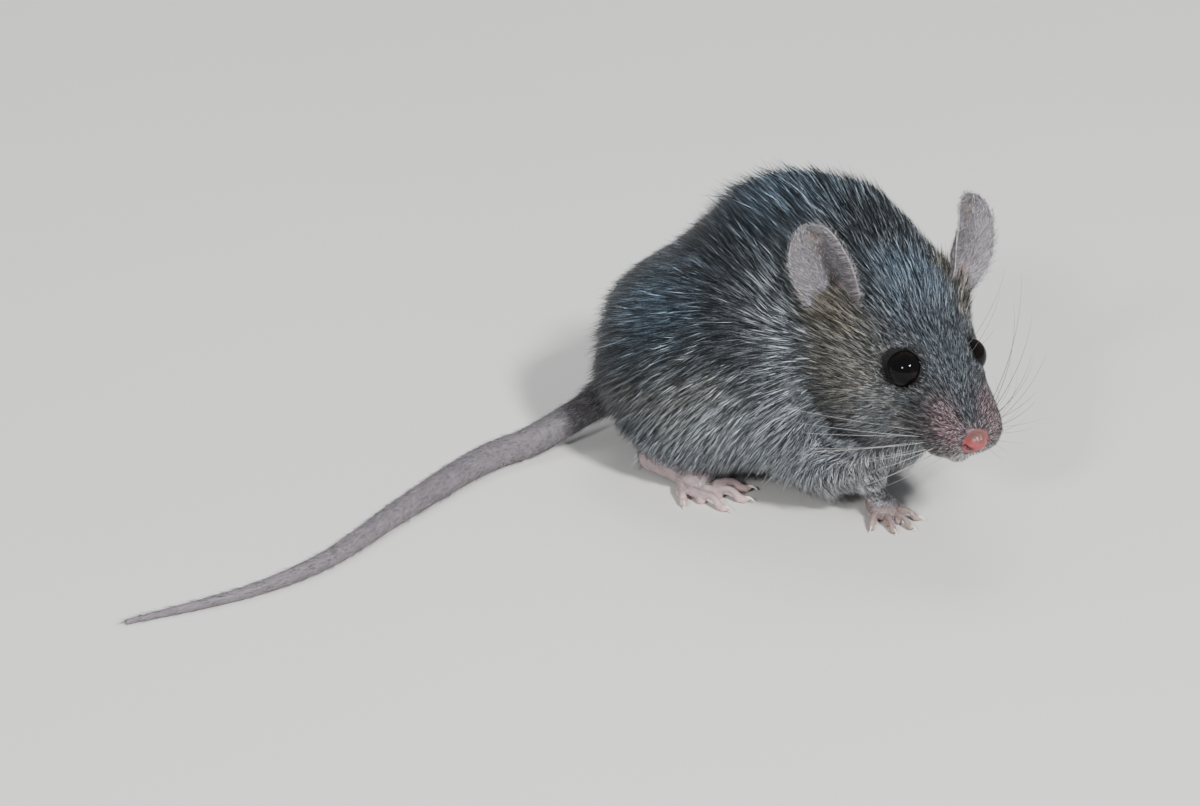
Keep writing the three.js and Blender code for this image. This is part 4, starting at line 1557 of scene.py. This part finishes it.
class Coat:
    """The tufts of the coat, planted over the body in bands from the muzzle to the rump."""

    BANDS = ("muzzle", "face", "cheeks", "crown", "nape", "shoulders", "flanks", "loins", "rump")

    def __init__(self, skin: Skin, sizes: CoatSizes = CoatSizes()) -> None:
        """Works out the lie of the coat over the body.

        Args:
            skin: The skin.
            sizes: The coat's sizes.
        """
        self.skin, self.sizes = skin, sizes
        self.rng = np.random.default_rng(SEED)
        body = skin.body
        net = Net(body.points, body.faces)
        self.normal = unit(net.smooth(normals(body), 6))
        tip = int(np.argmin(span(body.points - HEAD.world((-0.5, 0, 0)))))
        self.reach = net.smooth(net.walk(body.points, [tip]), 12)
        step = body.points[net.b] - body.points[net.a]
        slope = (self.reach[net.b] - self.reach[net.a])[:, None] * step
        slope /= np.maximum((step**2).sum(1), 1e-9)[:, None]
        lie = np.stack([np.bincount(net.a, s, net.count) for s in slope.T], 1)
        lie = self.flat(unit(lie))
        p = body.points
        droop = 1.25 * ramp(p[:, 2], 27, 8) * (1 - HEAD.share(p))
        lie = self.flat(lie + droop[:, None] * np.array([0, 0, -1.0]))
        for foot in skin.feet[:2]:
            near = ramp(span(p - foot), 11, 5) * ramp(p[:, 2], 10, 7)
            lie = self.flat(lie + 3 * near[:, None] * unit(foot + [0.8, 0, 0] - p))
        for _ in range(4):
            lie = self.flat(net.smooth(lie, 5))
        self.lie = lie

    def flat(self, v: Array) -> Array:
        """Returns directions laid along the skin."""
        return unit(v - self.normal * (v * self.normal).sum(1)[:, None])

    def density(self, p: Array) -> Array:
        """Returns how closely the tufts stand, over that on the back."""
        side = one_side(HEAD.local(p))
        back = HEAD.back(p)
        out = mix(1.0, 2.3, ramp(back, 25, 14)) + 1.2 * ramp(back, 8, 4)
        out = out * (1 + 3.2 * ramp(nearest(p, self.skin.feet[:2]), 8, 4))
        return out * (1 - 0.1 * MARKS.muzzle(side)) * (1 + self.chin(side)) * self.furred(p)

    def furred(self, p: Array) -> Array:
        """Returns 1 where the coat grows and 0 on the nose, lids, feet and ears."""
        keep = ramp(eye_distance(p), 2.0, 2.12) * ramp(NOSE.distance(HEAD.local(p)), 1.25, 1.45)
        for i, foot in enumerate(self.skin.feet):
            bounds = (1.3, 2.3) if i < 2 else (2.0, 3.2)
            keep = keep * np.maximum(ramp(level(p, foot), 3.4, 5.2), ramp(p[:, 2], *bounds))
        return keep

    def length(self, p: Array) -> Array:
        """Returns the hairs' length."""
        side = one_side(HEAD.local(p))
        out = np.interp(HEAD.back(p), [1, 4, 9, 14, 20, 27, 34], [0.7, 1.15, 1.7, 2.3, 3.2, 4.6, 5.2])
        out = mix(out * 0.8, out, ramp(p[:, 2], 3, 9))
        out = np.minimum(out, 0.5 + 0.5 * np.maximum(eye_distance(p) - 2.1, 0))
        for foot in self.skin.feet:
            away = span((p - foot) * [1, 1, 0.9])
            out = np.minimum(out, 0.7 + 0.45 * np.maximum(away - 2.4, 0))
        out = out * (1 - 0.4 * MARKS.muzzle(side))
        return out * (1 - 0.25 * self.chin(side)) + 1.3 * self.before_ear(side)

    def chin(self, side: Array) -> Array:
        """Returns 1 under the mouth, where the hair is short and close."""
        return blob(side, (-2.6, 0.5, -3.6), (3.0, 2.6, 1.6))

    def before_ear(self, side: Array) -> Array:
        """Returns 1 before the root of an ear, where long hair stands over its hollow."""
        return blob(side, (-17.0, 6.4, 4.2), (2.6, 2.4, 2.6))

    def roots(self, count: int) -> dict[str, Array]:
        """Returns the tufts' roots and all that the planting needs of each.

        Args:
            count: How many roots.
        """
        rng, body = self.rng, self.skin.body
        face, share, _ = scattered(body, self.density, count, rng)
        face = np.sort(face)
        corners = np.array(body.faces)[face]

        def on(values: Array) -> Array:
            """Returns values of the vertices, worked out at the roots."""
            return (values[corners] * (share if values.ndim == 1 else share[..., None])).sum(1)

        p, up = on(body.points), unit(on(self.normal))
        side = one_side(HEAD.local(p))
        back = HEAD.back(p)
        lie = unit(on(self.lie)) + rng.normal(0, 0.11, (count, 3))
        lie = unit(lie - up * (lie * up).sum(1)[:, None])
        length = self.length(p) * rng.uniform(0.85, 1.15, count)
        bend = mix(6.5, 14.0, ramp(back, 14, 28))
        rise = self.skin.depth(p) * rng.uniform(0.45, 1.2, count) - length**2 / (2 * bend) * 0.8
        erect = np.maximum(blob(p, (9, 26, 33), (9, 9, 5)), 1.2 * self.before_ear(side))
        erect = np.maximum(erect, 0.35 * blob(side, (-1.8, 0.3, -2.8), (3.0, 2.4, 2.0)))
        erect = np.maximum(erect, 0.6 * MARKS.muzzle(side))
        rise = np.maximum(rise, 0.12 * length) + erect * length * rng.uniform(0.15, 0.5, count)
        wide = np.interp(back, [2, 10, 20, 30], [0.62, 0.75, 0.95, 1.12])
        wide = wide * mix(0.55, 1.0, ramp(nearest(p, self.skin.feet), 3, 9))
        fine, curved = self.sizes.kinds
        kind = np.where(
            0.35 * ramp(back, 15, 21) > rng.uniform(0, 1, count),
            rng.integers(fine, fine + curved, count),
            rng.integers(0, fine, count),
        )
        tone = rng.uniform(0, 1, count)
        tint = MARKS.coat(p, rng.uniform(0, 1, count)) * np.exp(rng.normal(-0.02, 0.2, count))[:, None]
        return {
            "points": p,
            "reach": on(self.reach),
            "lie": lie,
            "up": up,
            "size": np.stack([length, wide, rise], 1),
            "tint": tint,
            "tone": tone,
            "kind": kind,
            "spot": self.map_spots(face, share),
        }

    def map_spots(self, face: Array, share: Array) -> Array:
        """Returns the roots' places on an unwrap of the body.

        Args:
            face: The face that each root is on.
            share: The root's place between its corners.
        """
        thing = linked("unwrapped", self.skin.body.mesh("unwrapped"))
        bpy.context.view_layer.objects.active = thing
        for other in bpy.context.selected_objects:
            other.select_set(False)
        thing.select_set(True)
        bpy.ops.object.mode_set(mode="EDIT")
        bpy.ops.mesh.select_all(action="SELECT")
        bpy.ops.uv.smart_project(angle_limit=math.radians(66), island_margin=0.004)
        bpy.ops.object.mode_set(mode="OBJECT")
        uv = read(thing.data.uv_layers.active.uv, "vector", 2).reshape(-1, 3, 2)[face]
        discard(thing)
        spots = (uv * share[..., None]).sum(1)
        return np.column_stack([spots, np.zeros(len(spots))])

    def plant(self) -> None:
        """Plants the whole coat in bands."""
        roots = self.roots(self.sizes.tufts)
        fine, curved = self.sizes.kinds
        shapes = [TuftShape(14, (0.28, 0.6), 0.088, bend=Bend.STRAIGHT, guard=1.15)] * fine
        shapes += [TuftShape(thick=0.085)] * curved
        nursery = Nursery("coat", shapes, HairFinish("coat_hair"), self.sizes.patch)
        edges = np.quantile(roots["reach"], np.linspace(0, 1, len(self.BANDS) + 1))
        place = np.clip(np.searchsorted(edges, roots["reach"], side="right") - 1, 0, len(self.BANDS) - 1)
        for i, band in enumerate(self.BANDS):
            nursery.planted(f"coat_{band}", {k: v[place == i] for k, v in roots.items()}, "coat")
        nursery.close()


class Nursery:
    """Patterns of tuft, the node tree that plants them, and their material."""

    FLOOR_GAP = 0.02  # mm that the hairs stay above the floor

    def __init__(self, name: str, shapes: Sequence[TuftShape], finish: HairFinish, patch: float) -> None:
        """Makes the patterns, the tree and the material.

        Args:
            name: Their shared name.
            shapes: The shape of each pattern.
            finish: The hair's finish.
            patch: Size of a tuft on the piece's map.
        """
        rng = np.random.default_rng(SEED + len(shapes))
        self.patch = patch
        self.kinds = bpy.data.collections.new(name + "_kinds")
        bpy.context.scene.collection.children.link(self.kinds)
        for i, shape in enumerate(shapes):
            tuft = f"{name}_tuft_{i:02d}"
            self.kinds.objects.link(bpy.data.objects.new(tuft, shape.mesh(tuft, rng)))
        self.tree, self.material = planting_tree(name + "_planting"), finish.material()

    def close(self) -> None:
        """Removes the patterns once all is planted."""
        for thing in list(self.kinds.objects):
            discard(thing)
        bpy.data.collections.remove(self.kinds)

    def planted(self, name: str, roots: dict[str, Array], slot: str) -> bpy.types.Object:
        """Plants a tuft at each root.

        Args:
            name: The piece's name.
            roots: The points in millimetres, with the lie, up, size, tint, tone, kind and spot of each.
            slot: Not used.

        Returns:
            The piece, as a plain mesh.
        """
        seed = bpy.data.meshes.new(name + "_roots")
        seed.from_pydata((roots["points"] * MM).tolist(), [], [])
        for key in ("lie", "up", "tint", "tone", "spot"):
            add_values(seed, key, roots[key])
        add_values(seed, "size", roots["size"] * MM)
        add_values(seed, "kind", roots["kind"])
        thing = linked(name + "_roots", seed)
        modifier = thing.modifiers.new("planting", "NODES")
        modifier.node_group = self.tree
        ids = {s.name: s.identifier for s in self.tree.interface.items_tree if s.in_out == "INPUT"}
        modifier[ids["Tufts"]] = self.kinds
        modifier[ids["Patch"]] = self.patch
        modifier[ids["Material"]] = self.material
        graph = bpy.context.evaluated_depsgraph_get()
        mesh = bpy.data.meshes.new_from_object(thing.evaluated_get(graph), depsgraph=graph)
        mesh.name = name
        points = read(mesh.vertices, "co", 3)
        points[:, 2] = np.maximum(points[:, 2], self.FLOOR_GAP * MM)
        mesh.vertices.foreach_set("co", points.ravel())
        mesh.update()
        thing.modifiers.remove(modifier)
        discard(thing)
        for key in ("lie", "up", "size", "spot", "patch", "kind"):
            if key in mesh.attributes:
                mesh.attributes.remove(mesh.attributes[key])
        return as_piece(name, mesh)


# ---- Small hairs, claws and whiskers -------------------------------------------------------------
class SmallHairs:
    """The thin short hairs of ears, feet and tail, in one piece each."""

    KINDS = 5
    ON_EAR, ON_FEET, ON_TAIL_ROOT, ON_TAIL = 2200, 2600, 700, 3800  # tufts
    EAR_TINT = (0.62, 0.6, 0.62)

    def __init__(self, skin: Skin, patch: float = 0.003) -> None:
        """Prepares the patterns.

        Args:
            skin: The skin.
            patch: Size of a tuft on each piece's map.
        """
        self.skin = skin
        self.rng = np.random.default_rng(SEED + 5)
        shape = TuftShape(hairs=3, spread=(0.5, 0.9), thick=0.09, fan=0.25, bend=Bend.STRAIGHT, guard=1.0)
        finish = HairFinish("small_hair", root=0.3, tip=2.9, painted_glint=0.05, pale=0.5, rough=0.5)
        self.nursery = Nursery("small", [shape] * self.KINDS, finish, patch)

    def roots(
        self, p: Array, up: Array, lie: Array, length: Array, wide: float, tint: Array, spot: Array
    ) -> dict[str, Array]:
        """Gathers what the planting needs of each root.

        Args:
            p: The roots.
            up: The skin's way out at each.
            lie: The way the hair lies.
            length: Each hair's length.
            wide: The tufts' width.
            tint: Each hair's colour.
            spot: Each root's place on the map.
        """
        rng, count = self.rng, len(p)
        lie = unit(lie) + rng.normal(0, 0.16, (count, 3))
        lie = unit(lie - up * (lie * up).sum(1)[:, None])
        long = length * rng.uniform(0.75, 1.2, count)
        return {
            "points": p,
            "lie": lie,
            "up": up,
            "size": np.stack([long, np.full(count, wide), long * rng.uniform(0.12, 0.4, count)], 1),
            "tint": tint * np.exp(rng.normal(0, 0.2, count))[:, None],
            "tone": rng.uniform(0, 1, count),
            "kind": rng.integers(0, self.KINDS, count),
            "spot": np.column_stack([spot, np.zeros(count)]),
        }

    def on_ear(self, name: str, ear: Ear) -> None:
        """Plants the fine hair on both faces of an ear.

        Args:
            name: The piece's name.
            ear: The ear.
        """
        rng, count = self.rng, self.ON_EAR
        v = rng.uniform(0.1, 0.985, count)
        s = rng.uniform(-1, 1, count)
        s = np.sign(s) * np.abs(s) ** 0.8
        front = rng.uniform(0, 1, count) < 0.6
        lift = np.where(front, 0.5, -0.5) * ear.thick * 0.8 * np.sqrt(1 - 0.7 * s**6)
        p = ear.at(v, s, lift)
        step = 0.01
        above = ear.at(np.minimum(v + step, 0.999), s, lift) - p
        beside = ear.at(v, np.clip(s + step, -1, 1), lift) - ear.at(v, np.clip(s - step, -1, 1), lift)
        up = unit(np.cross(above, beside))
        facing = ear.axes()[3]
        up = up * np.sign((up @ facing) * np.where(front, 1, -1))[:, None]
        inward = np.where(front, ramp(s, 0.3, 0.9), 0.0)[:, None]
        lie = unit(above) * (1 - inward) + unit(beside) * (0.55 * s[:, None] * (1 - inward) - 0.8 * inward)
        length = mix(0.95, 0.6, ramp(v, 0.3, 0.95)) + 0.5 * inward[:, 0]
        # the hairs take the ear's colour, its painted shade and light included
        tint = mix(ear.tint(v, s), np.array(self.EAR_TINT), 0.5)
        spot = np.stack([0.25 + 0.22 * s + np.where(front, 0, 0.5), v * 0.96 + 0.02], 1)
        self.nursery.planted(name, self.roots(p, up, lie, length, 0.6, tint, spot), "ear_skin")

    def on_skin(
        self, name: str, count: int, share: Callable, lie: Callable, length: float, tint: Triple, slot: str
    ) -> None:
        """Plants small hairs on some part of the skin.

        Args:
            name: The piece's name.
            count: How many tufts.
            share: Gives how closely they stand, at points.
            lie: Gives the way that they lie, at points.
            length: Their length.
            tint: Their colour.
            slot: A slot's name, handed on to the planting, which does not use it.
        """
        whole = self.skin.whole
        face, part, out = scattered(whole, share, count, self.rng)
        p = (whole.points[np.array(whole.faces)[face]] * part[..., None]).sum(1)
        up = unit(out[face])
        low, high = p.min(0), p.max(0)
        spot = ((p - low) / (high - low))[:, :2] * 0.94 + 0.03
        spot = spot * [0.5, 1] + np.stack([0.5 * (up[:, 2] > 0), np.zeros(count)], 1)
        tints = np.tile(np.array(tint), (count, 1))
        self.nursery.planted(name, self.roots(p, up, lie(p), np.full(count, length), 0.4, tints, spot), slot)

    def plant(self) -> None:
        """Plants all of them."""
        for side, ear in EARS.items():
            self.on_ear(f"ear_hair_{side}", ear)
        feet = self.skin.feet

        def by_foot(p: Array) -> Array:
            """Returns how closely hairs stand on the feet."""
            away = nearest(p[:, :2], feet[:, :2])
            return ramp(away, 6.6, 5.8) * ramp(p[:, 2], 3.6, 3.0) * ramp(p[:, 2], 0.5, 0.9)

        def forward(p: Array) -> Array:
            """Returns the way from the heel to the toes."""
            foot = np.argmin([level(p, f) for f in feet], axis=0)
            ways = [self.skin.toes[(f, s, 3)].heading for f in ("forefoot", "hindfoot") for s in SIDES]
            return np.array(ways)[foot] + [0, 0, -0.1]

        self.on_skin("foot_hair", self.ON_FEET, by_foot, forward, 0.75, (0.6, 0.52, 0.53), "foot_skin")
        line = Tail().line()[0]
        line, along = line[::6], unit(np.gradient(line, axis=0))[::6]

        def by_tail(p: Array) -> Array:
            """Returns how closely hairs stand on the tail."""
            away = span(p[:, None] - line[None]).min(1)
            return ramp(away, 2.9, 2.5) * ramp(p[:, 0], -11.0, -12.5) * ramp(p[:, 2], 0.05, 0.5)

        def by_root(p: Array) -> Array:
            """Returns how closely the fur stands that reaches over the tail's root."""
            return by_tail(p) * ramp(p[:, 1], 21.0, 24.0)

        def to_tip(p: Array) -> Array:
            """Returns the way towards the tail's tip."""
            return along[np.argmin(span(p[:, None] - line[None]), axis=1)]

        fur, sheen = (0.07, 0.08, 0.09), (0.26, 0.24, 0.26)
        self.on_skin("tail_root_hair", self.ON_TAIL_ROOT, by_root, to_tip, 2.1, fur, "coat")
        self.on_skin("tail_hair", self.ON_TAIL, by_tail, to_tip, 0.95, sheen, "tail_skin")
        self.nursery.close()


@dataclass
class Whiskers:
    """The whiskers of the muzzle, in five rows on each side, and those over the eyes."""

    # The heights of the rows on the whisker pad, in the head's frame
    rows: tuple[float, ...] = (0.5, -0.3, -1.1, -1.9, -2.6)
    columns: tuple[float, ...] = (-2.6, -3.5, -4.5, -5.6)  # the places of the whiskers along a row
    longest: float = 19.0  # length of the rear whisker of a row
    shortest: float = 7.0  # length of the front one
    thick: float = 0.029  # radius at the root
    room: float = 8.5  # how far tips may leave the packed model's box
    # Place, height and length of each whisker over the eye or on the cheek
    single: tuple[Triple, ...] = ((-7.6, 5.6, 8.0), (-8.6, 6.2, 10.0), (-14.6, -1.4, 8.0))
    dark: Triple = (0.05, 0.04, 0.035)  # colour of the upper rows
    pale: Triple = (0.25, 0.245, 0.24)  # colour of the lower rows

    def root(self, skin: Skin, x: float, side: float, z: float) -> Array:
        """Returns the place on the skin at a row and a column of the head."""
        h = HEAD.local(skin.body.points)
        away = np.hypot(h[:, 0] - x, h[:, 2] - z) - 0.25 * h[:, 1] * side
        return skin.body.points[int(np.argmin(away))]

    def one(self, root: Array, way: Array, sag: Array, length: float, thick: float) -> Shell:
        """Returns a whisker, kept inside the model's room and above the floor.

        Args:
            root: Where it grows.
            way: The way it starts out.
            sag: The way it bends.
            length: Its length, which is cut down where there is no room.
            thick: Its radius at the root.

        Returns:
            The whisker, its faces outwards.
        """
        low, high = (np.array(c) / MM for c in BOX)
        share = np.linspace(0, 1, 16)
        for _ in range(14):
            reach = share * length
            line = root + np.outer(reach - 0.15, way) + np.outer(reach**2 / length * 0.42, sag)
            inside = (line > low - self.room) & (line < high + self.room)
            if inside.all() and line[:, 2].min() > 0.4:
                break
            length *= 0.9
        return tube(line, thick * (1 - share) ** 0.8 + 0.006, 5)

    def build(self, skin: Skin) -> None:
        """Makes all whiskers of both sides."""
        rng = np.random.default_rng(SEED + 9)
        parts: list[Shell] = []
        tints: list[Array] = []

        def grow(root: Array, way: Triple, sag: Triple, length: float, thick: float, tint: Triple) -> None:
            """Adds a whisker, its directions given in the head's frame."""
            parts.append(self.one(root, unit(HEAD.along(way)), HEAD.along(sag), length, thick))
            tints.append(np.tile(tint, (len(parts[-1].points), 1)))

        middle = len(self.rows) // 2
        for side in SIDES.values():
            for i, z in enumerate(self.rows):
                for k, x in enumerate(self.columns):
                    root = self.root(skin, x + 0.15 * i, side, z)
                    share = (k + 0.5 * (1 - abs(i - middle) / 2)) / 3.5
                    length = (self.shortest + (self.longest - self.shortest) * share) * rng.uniform(0.85, 1.1)
                    tilt = 0.3 - 0.26 * i + rng.normal(0, 0.08)
                    way = (-0.1 - 0.24 * k + rng.normal(0, 0.07), side * 0.95, tilt)
                    thick = self.thick * rng.uniform(0.8, 1.1)
                    tint = self.pale if i >= middle else self.dark
                    grow(root, way, (-0.65, -0.1 * side, -0.35), length, thick, tint)
            for x, z, length in self.single:
                way = (-0.3, side * 0.75, 0.55 if z > 0 else -0.1)
                root = self.root(skin, x, side, z)
                grow(root, way, (-0.8, 0.0, -0.4), length, self.thick * 0.7, self.dark)
        material, values = WhiskerFinish().material(), {"tint": np.vstack(tints)}
        finish_piece("whiskers", Shell.together(parts), material, values)


class Claws:
    """The claws of all toes, in one piece."""

    def build(self, skin: Skin) -> None:
        """Makes them, each with its share of the way to its tip."""
        parts = [toe.claw() for toe in skin.toes.values()]
        away = [span(p.points - p.points[:8].mean(0)) for p in parts]
        values = {"along": np.concatenate([a / a.max() for a in away])}
        finish_piece("claws", Shell.together(parts), ClawFinish().material(), values)


# ---- Studio --------------------------------------------------------------------------------------
@dataclass(frozen=True)
class Lamp:
    """A soft square light, turned to the model."""

    name: str  # its name
    stand: Triple  # its azimuth, elevation and distance, as the camera's
    size: float  # its width, in metres
    power: float  # in watts
    mirrored: bool = True  # whether glossy surfaces reflect it


@dataclass
class Studio:
    """Floor, lights and camera, in metres and degrees."""

    target: Triple = (-0.0124, 0.0163, 0.007)  # the point in the middle of the picture
    # The camera's turn round it from the -Y side towards +X, its elevation and its distance
    stand: Triple = (31.0, 25.0, 0.45)
    width: float = 0.12903  # what the picture takes in at the target
    sensor: float = 36.0  # the sensor's width, in millimetres
    middle: Triple = (0.0, 0.01, 0.012)  # the point that the lamps are turned to
    # The lamps
    lamps: tuple[Lamp, ...] = (
        Lamp("key", (62, 42, 0.8), 0.09, 10.0),
        Lamp("fill", (4, 30, 1.0), 0.12, 6.0),
        Lamp("back", (205, 60, 0.9), 0.4, 3.0, mirrored=False),
    )
    # Colour and strength of the even light from all round
    sky: tuple[Triple, float] = ((0.9, 0.94, 1.0), 0.4)

    def turned(self, data: bpy.types.ID, target: Triple, stand: Triple) -> bpy.types.Object:
        """Stands a lamp or a camera round a target, turned to it, and returns its object.

        Args:
            data: The lamp or the camera.
            target: The place that it looks at.
            stand: Its turn from the -Y side, its elevation and its distance.

        Returns:
            The object.
        """
        a, e = (math.radians(angle) for angle in stand[:2])
        away = Vector((math.sin(a) * math.cos(e), -math.cos(a) * math.cos(e), math.sin(e)))
        thing = linked(data.name, data)
        thing.location = Vector(target) + away * stand[2]
        thing.rotation_euler = away.to_track_quat("Z", "Y").to_euler()
        return thing

    def camera(self) -> None:
        """Places the camera."""
        data = bpy.data.cameras.new("camera")
        data.sensor_width = self.sensor
        data.lens = self.sensor * self.stand[2] / self.width
        data.clip_start, data.clip_end = 0.01, 20.0
        bpy.context.scene.camera = self.turned(data, self.target, self.stand)

    def light(self, lamp: Lamp) -> None:
        """Hangs a lamp."""
        data = bpy.data.lights.new(lamp.name, "AREA")
        data.size, data.energy = lamp.size, lamp.power
        self.turned(data, self.middle, lamp.stand).visible_glossy = lamp.mirrored

    def floor(self) -> None:
        """Lays the pale floor."""
        mesh = bpy.data.meshes.new("floor")
        mesh.from_pydata([(-3, -3, 0), (3, -3, 0), (3, 3, 0), (-3, 3, 0)], [], [(0, 1, 2, 3)])
        mesh.materials.append(FLOOR.material())
        thing = linked("floor", mesh)
        thing.location.z = -0.00002

    def build(self) -> None:
        """Sets up the whole studio."""
        world = bpy.data.worlds.new("studio")
        world.use_nodes = True
        sky = world.node_tree.nodes["Background"].inputs
        sky["Color"].default_value = (*self.sky[0], 1.0)
        sky["Strength"].default_value = self.sky[1]
        bpy.context.scene.world = world
        self.floor()
        for lamp in self.lamps:
            self.light(lamp)
        self.camera()


# ---- Everything ----------------------------------------------------------------------------------
def main() -> None:
    """Builds the mouse and its studio."""
    logging.basicConfig(level=logging.INFO, format="%(message)s")
    skin = Skin()
    values = {"tint": skin_colours(skin), "wet": skin.wetness()}
    piece = finish_piece("skin", skin.whole, SkinFinish().material(), values)
    piece.data.materials.append(LID.material())
    for face, near in zip(piece.data.polygons, skin.by_lids(piece.data)):
        face.material_index = int(near)
    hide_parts(*sorted(n for n in frame["nodes"] if not n.startswith("eye_")))
    for side, eye in EYES.items():
        middle = eye.axes()[0]
        globe = finish_piece(f"eyeball_{side}", ball(middle, eye.radius, 4), EYE.material())
        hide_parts(f"eye_{side}")
    Claws().build(skin)
    Coat(skin).plant()
    SmallHairs(skin).plant()
    Whiskers().build(skin)
    Studio().build()


if __name__ == "__main__":
    main()
